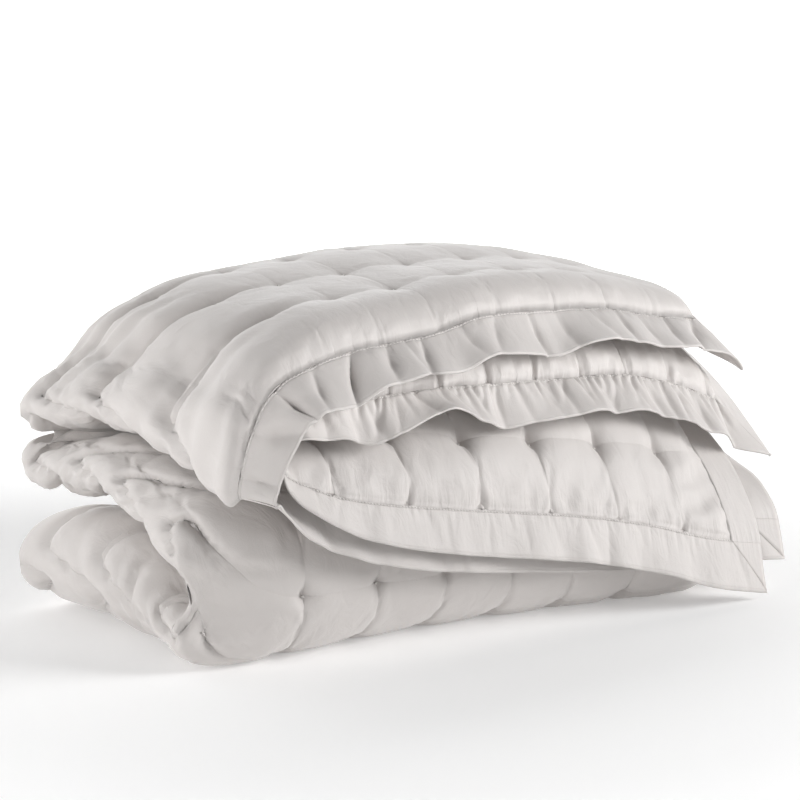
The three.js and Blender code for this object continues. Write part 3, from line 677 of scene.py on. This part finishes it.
def relax(name, points, faces, pin, growth, pressure, frames, bend=0.1, press_group=None):
    """Lets a cloth of slightly more area than it has room for settle: Blender's own cloth.

    points in metres; pin is 1 where the cloth is held; growth is the share by which it grows, per point."""
    obj = make_object(name, points, faces)
    pins = obj.vertex_groups.new(name="pin")
    grow = obj.vertex_groups.new(name="grow")
    most = float(growth.max())
    for level in np.unique(np.round(pin, 2)):
        if level > 0:
            pins.add(np.nonzero(np.round(pin, 2) == level)[0].tolist(), float(level), "REPLACE")
    share = np.round(1 - growth / most, 2)
    for level in np.unique(share):
        if level > 0:
            grow.add(np.nonzero(share == level)[0].tolist(), float(level), "REPLACE")
    modifier = obj.modifiers.new("cloth", "CLOTH")
    c = modifier.settings
    c.quality = 6
    c.mass = 0.15
    c.air_damping = 2.0
    c.tension_stiffness = 20
    c.compression_stiffness = 12
    c.shear_stiffness = 8
    c.bending_stiffness = bend
    c.tension_damping = c.compression_damping = c.shear_damping = 6
    c.bending_damping = 0.5
    c.vertex_group_mass = "pin"
    c.pin_stiffness = 1
    c.vertex_group_shrink = "grow"
    c.shrink_min = -most
    c.shrink_max = 0
    c.use_pressure = True
    c.uniform_pressure_force = pressure
    c.effector_weights.gravity = 0
    modifier.collision_settings.use_self_collision = False
    modifier.collision_settings.use_collision = False
    modifier.point_cache.frame_start = 1
    modifier.point_cache.frame_end = frames + 1
    scene = bpy.context.scene
    for f in range(1, frames + 1):
        scene.frame_set(f)
    depsgraph = bpy.context.evaluated_depsgraph_get()
    settled = obj.evaluated_get(depsgraph).to_mesh()
    out = np.empty(len(points) * 3, dtype=np.float32)
    settled.vertices.foreach_get("co", out)
    obj.evaluated_get(depsgraph).to_mesh_clear()
    out = out.reshape(-1, 3).astype(float)
    mesh = obj.data
    bpy.data.objects.remove(obj)
    bpy.data.meshes.remove(mesh)
    scene.frame_set(1)
    return out


def capped(base, moved, most):
    """Moves from base towards moved, and no further than `most`."""
    d = moved - base
    length = np.linalg.norm(d, axis=-1, keepdims=True) + 1e-12
    most = np.asarray(most, float).reshape(-1, 1) if np.ndim(most) else most
    return base + d / length * most * np.tanh(length / most)


def smoothed(points, faces, share, times):
    """Points drawn towards the middle of their neighbours, as far as `share` lets them."""
    some = share > 0.01
    edges = np.array([(f[i], f[(i + 1) % len(f)]) for f in faces if any(some[j] for j in f) for i in range(len(f))])
    edges = np.unique(np.sort(edges, axis=1), axis=0)
    a, b = edges[:, 0], edges[:, 1]
    count = np.bincount(a, minlength=len(points)) + np.bincount(b, minlength=len(points))
    for _ in range(times):
        total = np.zeros_like(points)
        for axis in range(3):
            total[:, axis] = np.bincount(a, points[b, axis], len(points)) + np.bincount(b, points[a, axis], len(points))
        mean = total / np.maximum(count, 1)[:, None]
        points = points + (mean - points) * (share * (count > 0))[:, None]
    return points


def is_tuft(s, w, m, reach=3.8):
    ds, dw, columns, rows = from_tuft(s, w, m)
    inside = (np.abs(columns) < FIELD - 50) & (rows > BORDER + 50)
    return (ds ** 2 + dw ** 2 < reach ** 2) & inside


side, S, W, M, T, body_faces = build_body()
print("body points", len(S), "faces", len(body_faces))
centre = cloth(S, W, M, T)
normal = facing(S, W, M, T)
free = room(S, W, M, T, centre, normal)
thick = padding(S, W, M, free)
body = centre + normal * (side * thick / 2)[:, None]
body[:, 2] = np.maximum(body[:, 2] - PRESSED, 0)
# the tight end of the front fold, on the roll
_x, _level = across(S, W, M)
tight = along(_x, _level, np.maximum(W, BORDER + FAN_RUN))[2] / PINCH * ((W > 600) & (np.abs(S) < 230))
tight = ease(tight * 2.6)
body = smoothed(body, body_faces, tight * 0.9, 40)
body = to_metres(body)

# Which points show, and so are worth settling as cloth.
fine_s = {id(EVERY): (-161, 161), id(UPPER): (-161, 30), id(LOWER): (-30, 161), id(ROLL): (-30, 30), id(FEW): (1, 0)}


def live_points():
    live = np.zeros(len(S), dtype=bool)
    at = 0
    for rows in (face_rows(), back_rows()):
        for w, m, turn, where in rows:
            lo, hi = fine_s[id(where)]
            k = where
            n = len(k)
            shown = (k > lo) & (k < hi) & (w > BORDER) & (turn == 0) & (w < 1062)
            live[at:at + n] = shown & (np.abs(k) < 160)
            at += n
    return live


settled = body
live = live_points()
jolt = smooth_noise(S, W, 40, 3) * 0.25 + RNG.normal(0, 0.10, len(S))
start = body + normal * (side * jolt / 1000)[:, None] * live[:, None]
in_groove = (np.abs(from_tuft(S, W, M)[1]) < 2.6) & (round_roll(S, M) > 0.45)
pin = np.where(live & ~is_tuft(S, W, M) & ~in_groove, 0.0, 1.0)
lip = np.exp(-np.maximum(W - BORDER, 0) / 70)
roll = np.exp(-((np.abs(S) - 60) / 120) ** 2)
growth = (0.009 + 0.018 * lip + 0.004 * roll) * tautness(S, W, M)
# only faces with a free point take part
keep = [f for f in body_faces if any(live[i] for i in f)]
used = np.unique(np.concatenate([np.asarray(f) for f in keep]))
new_id = np.full(len(S), -1)
new_id[used] = np.arange(len(used))
sub_faces = [[int(new_id[i]) for i in f] for f in keep]
print("settling", len(used), "points")
moved = relax("settle", start[used], sub_faces, pin[used], growth[used], 1.8, 17)
settled = body.copy()
settled[used] = capped(body[used], moved, 0.010)
settled[:, 2] = np.maximum(settled[:, 2], 0)

open_depth = np.minimum(drawn_in(S, W, M), (0.42 + 0.16 * round_roll(S, M)) * thick + 2.2) * (1 - 0.7 * tight)
settled = settled - normal * (side * open_depth)[:, None] / 1000
settled[:, 2] = np.maximum(settled[:, 2], 0)
_columns, _rows = pattern(S, W, M)
cell_places = np.stack([_columns / PITCH, (_rows - BORDER) / PITCH], -1)
_slack = (tautness(S, W, M) - 0.28) / 0.72
lines = np.stack([(1 - 0.9 * round_roll(S, M)) * (0.35 + 0.65 * _slack),
                  (0.35 + 0.65 * _slack) + 0.5 * round_roll(S, M)], -1)
quilt = make_object("quilt_field", settled, [[int(i) for i in f] for f in body_faces],
                    uv=np.stack([S, W], -1) / 1000, cells=cell_places, lines=lines)


# ---- flat borders ----------------------------------------------------------
def closed_strip(name, grid, thickness, uv):
    """A closed thin sheet over a grid of middle points (rows, columns, 3) in millimetres."""
    rows, columns = grid.shape[:2]
    gs = np.gradient(grid, axis=1)
    gw = np.gradient(grid, axis=0)
    n = np.cross(gs, gw)
    n /= np.linalg.norm(n, axis=-1, keepdims=True) + 1e-9
    half = (thickness / 2)[..., None] if np.ndim(thickness) else thickness / 2
    up = (grid + n * half).reshape(-1, 3)
    down = (grid - n * half).reshape(-1, 3)
    k = rows * columns
    idx = np.arange(k).reshape(rows, columns)
    a, b, c, d = idx[:-1, :-1], idx[:-1, 1:], idx[1:, 1:], idx[1:, :-1]
    quads = np.stack([a, b, c, d], -1).reshape(-1, 4)
    faces = quads.tolist() + (quads[:, ::-1] + k).tolist()
    ring = list(idx[0, :]) + list(idx[1:, -1]) + list(idx[-1, -2::-1]) + list(idx[-2:0:-1, 0])
    for i in range(len(ring)):
        p, q = int(ring[i]), int(ring[(i + 1) % len(ring)])
        faces.append([q, p, p + k, q + k])
    return make_object(name, to_metres(np.concatenate([up, down])), faces, uv=np.concatenate([uv, uv]) / 1000)


def border_thickness(u):
    """Across the border, 0 at the hem edge to 1 at the seam: a turned hem, then two cloths."""
    return 2.0 + 1.0 * np.exp(-((u - 0.03) / 0.05) ** 2)


HEM_WAVES = {"A": (8.5, 2.6), "C": (7.0, 2.4), "D": (3.6, 2.0), "F": (5.0, 2.4)}  # long and short waves
# Pleats across the border: place, depth, width, slant and how near the hem edge they reach, and the
# millimetres by which the hem edge is drawn up at them.
HEM_PLEATS = {}
for _name, _gap, _deep, _up in (("A", (24, 60), 15.0, 9.0), ("C", (20, 58), 9.0, 6.0),
                                ("D", (38, 100), 3.4, 1.2), ("F", (34, 80), 4.5, 2.5)):
    _rng = np.random.default_rng(ord(_name) + 100)
    _at = []
    _place = 8.0
    while _place < FIELD + 20:
        _at.append(_place)
        _place += _rng.uniform(*_gap)
    _n = len(_at)
    HEM_PLEATS[_name] = np.stack([_at, _deep * _rng.uniform(0.35, 1.0, _n), _rng.uniform(5, 12, _n),
                                  _rng.uniform(-0.45, 0.45, _n), _rng.uniform(0.25, 1.0, _n),
                                  _up * _rng.uniform(0.3, 1.0, _n)], -1)
HEM_PLEATS["A"][HEM_PLEATS["A"][:, 0] < 230, 1] *= 1.6  # round the roll


def hem_pleats(ss, ww, m):
    """Depth of the pleats, and how far they draw up the hem edge."""
    from_seam = np.maximum(BORDER - ww, 0)
    depth, up = np.zeros(ss.shape), np.zeros(ss.shape)
    for sign, name in ((-1, "A" if m > 0.5 else "C"), (1, "F" if m > 0.5 else "D")):
        here = np.sign(ss) == sign
        a, r = np.abs(ss[here]), from_seam[here]
        d, lift = np.zeros(a.shape), np.zeros(a.shape)
        for at, deep, width, slant, share, drawn in HEM_PLEATS[name]:
            off = np.sqrt((a - at - slant * r) ** 2 + 6)
            t = r / BORDER
            down = (0.35 + 0.65 * np.clip(t * 2.2, 0, 1)) * mix(1 - 0.75 * ease((t - 0.45) / 0.5), 1.0, share)
            d += deep * np.exp(-off / (width * (0.6 + 0.5 * t))) * down
            lift += drawn * share * np.exp(-off / (width * 1.3)) * t ** 2
        depth[here], up[here] = d - 0.35 * d.mean(), lift
    return depth, up


def border_waves(ss, ww, m):
    """Creases from the seam and waves that grow towards the hem edge, in millimetres."""
    u = np.minimum(ww / BORDER, 1)
    m_at = np.full(ss.shape, m)
    from_seam = np.maximum(BORDER - ww, 0)
    pucker = seam_creases(ss, ww, m_at, 0.9, from_seam) * np.clip(from_seam / 3, 0, 1)
    seed = 5 if m > 0.5 else 8
    folded_under = ease(ss / 80 + 0.5)
    above, below = (HEM_WAVES["A"], HEM_WAVES["F"]) if m > 0.5 else (HEM_WAVES["C"], HEM_WAVES["D"])
    wide, small = mix(above[0], below[0], folded_under), mix(above[1], below[1], folded_under)
    wide = smooth_noise(ss, ww * 0.25, 95, seed) * wide * (1 - u)
    small = smooth_noise(ss, ww * 0.35, 38, seed + 1, 1) * small * (0.35 + 0.65 * (1 - u)) * np.clip((1 - u) * 5, 0, 1)
    inwards = np.where((m < 0.5) == (ss < 0), -1.0, 1.0)  # A and D are seen from one side, C and F from the other
    pucker = pucker * (mix(0.7, 0.6, folded_under) if m > 0.5 else mix(1.0, 0.35, folded_under))
    return wide + small + (pucker + hem_pleats(ss, ww, m)[0]) * inwards


def end_border(name, m):
    cols = np.concatenate([-np.linspace(FIELD + BORDER, FIELD + STEP / 2, 24), np.arange(-320, 321) * STEP / 2,
                           np.linspace(FIELD + STEP / 2, FIELD + BORDER, 24)])
    rows = (BORDER + 1.2) * (1 - np.linspace(0, 1, 18) ** 1.25)
    rows = rows[::-1]
    ss = np.tile(cols, (len(rows), 1))
    ww = np.tile(rows[:, None], (1, len(cols)))
    # the ends are mitred: the border is as long as its seam there, and longer at the hem edge
    over = np.maximum(np.abs(ss) - FIELD, 0)
    ss = np.sign(ss) * (np.minimum(np.abs(ss), FIELD) + over * (BORDER - ww) / BORDER)
    ww_drawn = ww + hem_pleats(ss, ww, m)[1]
    grid = cloth(ss, ww_drawn, m)
    n = facing(ss, ww, m, 0.0)
    u = np.minimum(ww / BORDER, 1)
    grid = grid + n * border_waves(ss, ww, m)[..., None]
    grid[..., 2] = np.maximum(grid[..., 2] - PRESSED, 1.2)
    th = border_thickness(u)
    return closed_strip(name, grid, th, np.stack([ss, ww], -1).reshape(-1, 2))


def side_border(name, sign):
    cols = np.linspace(FIELD + 0.4, FIELD + BORDER, 12)
    ws = row_places(400, 2)[:-1]
    places = [(w, OUTER, 0.0) for w in ws] + [(HALF_LENGTH, OUTER, 0.0)]
    places += [(HALF_LENGTH, 0.5 + 0.25 * np.cos(t), t) for t in TURNS]
    places += [(HALF_LENGTH, INNER, 0.0)] + [(w, INNER, 0.0) for w in reversed(ws)]
    P = np.array(places)
    ss = np.tile(cols * sign, (len(P), 1))
    ww = np.tile(P[:, 0][:, None], (1, len(cols)))
    mm = np.tile(P[:, 1][:, None], (1, len(cols)))
    tt = np.tile(P[:, 2][:, None], (1, len(cols)))
    over = (np.abs(ss) - FIELD)
    reach = np.clip(1 - (ww - BORDER) / 60, 0, 1)
    ww = ww - over * reach
    grid = cloth(ss, ww, mm, tt)
    n = facing(ss, np.maximum(ww, 0), mm, tt)
    u = over / BORDER
    wave = smooth_noise(ww, mm * 400, 110, 21 if sign > 0 else 22) * 3.0 * u
    grid = grid + n * wave[..., None]
    grid[..., 2] = np.maximum(grid[..., 2] - PRESSED, 1.2)
    return closed_strip(name, grid, border_thickness(1 - u), np.stack([ss, ww], -1).reshape(-1, 2))


def thread_bars(name, ends, radius):
    """Short straight lengths of thread, six-sided; ends is (n, 2, 3) in metres."""
    a, b = ends[:, 0], ends[:, 1]
    d = b - a
    d /= np.linalg.norm(d, axis=-1, keepdims=True) + 1e-12
    helper = np.where(np.abs(d[:, 2:3]) < 0.9, [[0.0, 0.0, 1.0]], [[1.0, 0.0, 0.0]])
    u = np.cross(d, helper)
    u /= np.linalg.norm(u, axis=-1, keepdims=True) + 1e-12
    v = np.cross(d, u)
    angles = np.arange(6) * np.pi / 3
    round_it = np.cos(angles)[None, :, None] * u[:, None] + np.sin(angles)[None, :, None] * v[:, None]
    rings = [a[:, None] + round_it * radius * 0.5, a[:, None] + d[:, None] * radius + round_it * radius,
             b[:, None] - d[:, None] * radius + round_it * radius, b[:, None] + round_it * radius * 0.5]
    points = np.stack(rings, 1).reshape(-1, 3)
    faces = []
    for k in range(len(a)):
        o = 24 * k
        for r in range(3):
            for i in range(6):
                j = (i + 1) % 6
                faces.append([o + 6 * r + i, o + 6 * r + j, o + 6 * r + 6 + j, o + 6 * r + 6 + i])
        faces.append([o + 5 - i for i in range(6)])
        faces.append([o + 18 + i for i in range(6)])
    return make_object(name, points, faces, uv=points[:, :2])


def stitched_seams():
    """The row of stitches beside each end seam, on the side of each layer that shows."""
    bars = []
    for m, sign in ((OUTER, -1.0), (INNER, -1.0), (INNER, 1.0)):
        start = np.arange(8, FIELD - 4, 5.2) * sign
        both = []
        for s in (start, start + 3.3 * sign):
            w = np.full(s.shape, BORDER - 1.7)
            middle_points = cloth(s, w, m)
            n = facing(s, w, m, 0.0)
            outward = n * (1.0 if (m < 0.5 and sign < 0) else -1.0)
            p = middle_points + n * border_waves(s, w, m)[..., None] + outward * 1.5
            p[..., 2] -= PRESSED
            both.append(to_metres(p))
        bars.append(np.stack(both, 1))
    return thread_bars("seam_stitches", np.concatenate(bars), 0.0007)


def tuft_marks():
    """A small cross of thread at every tuft, on both sides of the quilt."""
    marks = []
    reached = is_tuft(S, W, M, 5.0) & (T == 0)
    for k in np.nonzero(reached)[0]:
        ds, dw, columns, rows = (float(q) for q in from_tuft(S[k], W[k], M[k]))
        marks.append((round(columns / PITCH), round((rows - BORDER) / PITCH), M[k], side[k], math.hypot(ds, dw), k))
    best = {}
    for c, r, m, where, far, k in marks:
        key = (c, r, m, where)
        if key not in best or far < best[key][0]:
            best[key] = (far, k)
    rng = np.random.default_rng(23)
    ends = []
    for far, k in best.values():
        p, out = settled[k], -normal[k] * -side[k]
        along_s = np.cross(out, [0.0, 1.0, 0.0])
        along_s /= np.linalg.norm(along_s) + 1e-9
        other = np.cross(out, along_s)
        turn = rng.uniform(0.5, 1.1)
        for a in (turn, turn + rng.uniform(1.2, 1.8)):
            d = (math.cos(a) * along_s + math.sin(a) * other) * rng.uniform(0.0022, 0.0032)
            ends.append([p + out * 0.0014 - d, p + out * 0.0014 + d])
    return thread_bars("tuft_threads", np.array(ends), 0.0008)


outer_hem = end_border("hem_outer", OUTER)
inner_hem = end_border("hem_inner", INNER)
upper_side = side_border("side_upper", -1.0)
lower_side = side_border("side_lower", 1.0)
stitches = stitched_seams()
tufts = tuft_marks()
print("threads", len(stitches.data.polygons), len(tufts.data.polygons))


# ---- cloth material --------------------------------------------------------
class Nodes:
    """Short names for the shader nodes used below."""

    def __init__(self, tree):
        self.tree = tree

    def put(self, value, socket):
        if isinstance(value, bpy.types.NodeSocket):
            self.tree.links.new(value, socket)
        else:
            socket.default_value = value

    def math(self, operation, a, b=0.0, c=0.0):
        node = self.tree.nodes.new("ShaderNodeMath")
        node.operation = operation
        for value, socket in zip((a, b, c), node.inputs):
            self.put(value, socket)
        return node.outputs[0]

    def uv(self, name):
        node = self.tree.nodes.new("ShaderNodeUVMap")
        node.uv_map = name
        split = self.tree.nodes.new("ShaderNodeSeparateXYZ")
        self.tree.links.new(node.outputs["UV"], split.inputs[0])
        return node.outputs["UV"], split.outputs[0], split.outputs[1]

    def noise(self, x, y, scale_x, scale_y, detail=2.0, distortion=0.0, shift=0.0):
        join = self.tree.nodes.new("ShaderNodeCombineXYZ")
        self.put(self.math("MULTIPLY", x, scale_x), join.inputs[0])
        self.put(self.math("MULTIPLY", y, scale_y), join.inputs[1])
        join.inputs[2].default_value = shift
        node = self.tree.nodes.new("ShaderNodeTexNoise")
        node.inputs["Scale"].default_value = 1.0
        node.inputs["Detail"].default_value = detail
        node.inputs["Distortion"].default_value = distortion
        self.tree.links.new(join.outputs[0], node.inputs["Vector"])
        return self.math("SUBTRACT", node.outputs["Fac"], 0.5)

    def fall(self, distance, reach):
        """1 at no distance, falling away over `reach`."""
        return self.math("EXPONENT", self.math("MULTIPLY", self.math("ABSOLUTE", distance), -1.0 / reach))

    def to_line(self, cells):
        """Distance in cells to the nearest whole number."""
        return self.math("ABSOLUTE", self.math("SUBTRACT", self.math("FRACT", self.math("ADD", cells, 0.5)), 0.5))

    def total(self, *values):
        out = values[0]
        for value in values[1:]:
            out = self.math("ADD", out, value)
        return out


def cloth_material(name, colour, kind="field"):
    mat = bpy.data.materials.new(name)
    mat.use_nodes = True
    n = Nodes(mat.node_tree)
    bsdf = mat.node_tree.nodes["Principled BSDF"]
    bsdf.inputs["Roughness"].default_value = 0.58
    bsdf.inputs["Sheen Weight"].default_value = 0.3
    bsdf.inputs["Sheen Roughness"].default_value = 0.45
    bsdf.inputs["Specular IOR Level"].default_value = 0.42
    _, s, w = n.uv("flat")
    # heights in millimetres
    past_seam = n.math("SUBTRACT", w, BORDER / 1000)
    streaks = n.noise(s, w, 130.0, 20.0, 2.0, 0.8)
    broad = n.noise(s, w, 34.0, 30.0, 4.0, 1.2, 3.0)
    weave = n.math("MULTIPLY", n.noise(s, w, 1500.0, 1500.0, 1.0), 0.09)
    slub = n.math("MULTIPLY", n.noise(s, w, 90.0, 1300.0, 2.0, 0.0, 5.0), 0.07)
    if kind == "field":
        _, column, row = n.uv("cells")
        to_column = n.math("MULTIPLY", n.to_line(column), PITCH)
        to_row = n.math("MULTIPLY", n.to_line(row), PITCH)
        _, clear_columns, clear_rows = n.uv("lines")
        column_line = n.math("MULTIPLY", n.fall(to_column, 2.6), n.math("MULTIPLY_ADD", n.fall(to_row, 18.0), -1.3, -0.35))
        column_line = n.math("MULTIPLY", column_line, clear_columns)
        row_line = n.math("MULTIPLY", n.fall(to_row, 2.6), n.math("MULTIPLY_ADD", n.fall(to_column, 18.0), -1.2, -0.35))
        row_line = n.math("MULTIPLY", row_line, clear_rows)
        near_seam = n.math("MULTIPLY", n.fall(past_seam, 0.020), 1.5)
        gathers = n.math("MULTIPLY", streaks, near_seam)
        wrinkles = n.math("MULTIPLY", broad, 1.5)
        height = n.total(column_line, row_line, gathers, wrinkles, weave, slub)
    elif kind == "border":
        near_seam = n.math("MULTIPLY_ADD", n.fall(past_seam, 0.016), 1.8, 0.25)
        gathers = n.math("MULTIPLY", n.noise(s, w, 120.0, 16.0, 2.0, 0.3), near_seam)
        turned = n.math("MULTIPLY", n.fall(n.math("SUBTRACT", w, 0.0042), 0.0007), -0.5)
        second_row = n.math("MULTIPLY", n.fall(n.math("SUBTRACT", w, BORDER / 1000 - 0.0034), 0.0006), -0.5)
        wrinkles = n.math("MULTIPLY", broad, 1.3)
        height = n.total(gathers, turned, second_row, wrinkles, weave, slub)
    else:
        height = weave
    bump = mat.node_tree.nodes.new("ShaderNodeBump")
    bump.inputs["Strength"].default_value = 1.0
    bump.inputs["Distance"].default_value = 0.001
    n.put(height, bump.inputs["Height"])
    mat.node_tree.links.new(bump.outputs["Normal"], bsdf.inputs["Normal"])
    tone = mat.node_tree.nodes.new("ShaderNodeMixRGB")
    tone.inputs["Color1"].default_value = (*[c * 0.94 for c in colour], 1)
    tone.inputs["Color2"].default_value = (*[min(c * 1.04, 1) for c in colour], 1)
    mottled = n.math("ADD", n.math("MULTIPLY", n.noise(s, w, 9.0, 9.0, 3.0, 0.0, 7.0), 1.1), 0.5)
    n.put(n.math("ADD", mottled, n.math("MULTIPLY", n.noise(s, w, 1100.0, 1100.0, 1.0, 0.0, 9.0), 0.8)), tone.inputs["Fac"])
    mat.node_tree.links.new(tone.outputs["Color"], bsdf.inputs["Base Color"])
    return mat


field_cloth = cloth_material("field_cloth", (0.600, 0.567, 0.548))
border_cloth = cloth_material("border_cloth", (0.600, 0.567, 0.548), "border")
quilt.data.materials.append(field_cloth)
for piece in (outer_hem, inner_hem, upper_side, lower_side):
    piece.data.materials.append(border_cloth)

thread = cloth_material("thread", (0.66, 0.63, 0.61), "thread")
for piece in (stitches, tufts):
    piece.data.materials.append(thread)
    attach(piece, "root")

for piece, node, slot in ((quilt, "quilt_body", "field_cloth"), (outer_hem, "end_border_outer", "border_cloth"),
                          (inner_hem, "end_border_inner", "border_cloth"), (upper_side, "side_border_upper", "border_cloth"),
                          (lower_side, "side_border_lower", "border_cloth")):
    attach(piece, "root")
    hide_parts(node)


# ---- floor, light and camera ----------------------------------------------
def plain_material(name, colour, roughness=0.8, glow=0.0):
    mat = bpy.data.materials.new(name)
    mat.use_nodes = True
    bsdf = mat.node_tree.nodes["Principled BSDF"]
    bsdf.inputs["Base Color"].default_value = (*colour, 1)
    bsdf.inputs["Roughness"].default_value = roughness
    bsdf.inputs["Specular IOR Level"].default_value = 0.1
    bsdf.inputs["Emission Color"].default_value = (1, 1, 1, 1)
    bsdf.inputs["Emission Strength"].default_value = glow
    return mat


def glow_with_distance(mat, near, far):
    """Painted light: the floor and backdrop glow, faintly near the object and more away from it, by place on the floor,
    so that they fade to white where the lamps' light falls off.
    """
    tree = mat.node_tree
    place = tree.nodes.new("ShaderNodeNewGeometry")
    length = tree.nodes.new("ShaderNodeVectorMath")
    length.operation = "LENGTH"
    tree.links.new(place.outputs["Position"], length.inputs[0])
    ramp = tree.nodes.new("ShaderNodeMapRange")
    ramp.inputs["From Min"].default_value = 0.7
    ramp.inputs["From Max"].default_value = 2.6
    ramp.inputs["To Min"].default_value = near
    ramp.inputs["To Max"].default_value = far
    tree.links.new(length.outputs["Value"], ramp.inputs["Value"])
    tree.links.new(ramp.outputs["Result"], tree.nodes["Principled BSDF"].inputs["Emission Strength"])


def studio_floor():
    profile = [(-40.0, 0.0), (3.0, 0.0)]
    for k in range(1, 13):
        a = k / 12 * math.pi / 2
        profile.append((3.0 + 1.5 * math.sin(a), 1.5 - 1.5 * math.cos(a)))
    profile.append((4.5, 9.0))
    points, faces = [], []
    for y, z in profile:
        points += [(-40.0, y, z - 0.0005), (40.0, y, z - 0.0005)]
    for k in range(len(profile) - 1):
        faces.append([2 * k, 2 * k + 1, 2 * k + 3, 2 * k + 2])
    return make_object("studio_floor", np.array(points), faces)


floor = studio_floor()
# painted light: the pale floor glows, from 0.19 near the object to 0.8 far away, in place of lamp light; the glow also
# lights the quilt a little
pale = plain_material("pale_glowing_floor", (0.93, 0.93, 0.93))
glow_with_distance(pale, 0.19, 0.8)
floor.data.materials.append(pale)

AIM = Vector((-0.018, 0.003, 0.200))


def looking(azimuth, elevation, distance, aim=AIM):
    a, e = math.radians(azimuth), math.radians(elevation)
    return aim + distance * Vector((math.sin(a) * math.cos(e), -math.cos(a) * math.cos(e), math.sin(e)))


def area_light(name, azimuth, elevation, distance, size, power, colour=(1, 1, 1)):
    data = bpy.data.lights.new(name, "AREA")
    data.shape = "SQUARE"
    data.size = size
    data.energy = power
    data.color = colour
    obj = bpy.data.objects.new(name, data)
    obj.location = looking(azimuth, elevation, distance)
    obj.rotation_euler = (AIM - obj.location).to_track_quat("-Z", "Y").to_euler()
    bpy.context.scene.collection.objects.link(obj)
    return obj


area_light("key", 44, 19, 5.0, 2.4, 242)
area_light("side", -88, 10, 5.0, 2.4, 112)
world = bpy.data.worlds.new("studio")
bpy.context.scene.world = world
world.use_nodes = True
world.node_tree.nodes["Background"].inputs["Color"].default_value = (1, 1, 1, 1)
world.node_tree.nodes["Background"].inputs["Strength"].default_value = 0.06

camera = bpy.data.objects.new("camera", bpy.data.cameras.new("camera"))
bpy.context.scene.collection.objects.link(camera)
camera.data.sensor_width = 36
camera.data.lens = 2340 / 800 * 36
camera.data.shift_y = 50 / 800
camera.location = looking(-38, 12, 3.0)
camera.rotation_euler = (AIM - camera.location).to_track_quat("-Z", "Y").to_euler()
bpy.context.scene.camera = camera
bpy.context.scene.view_settings.view_transform = "Standard"
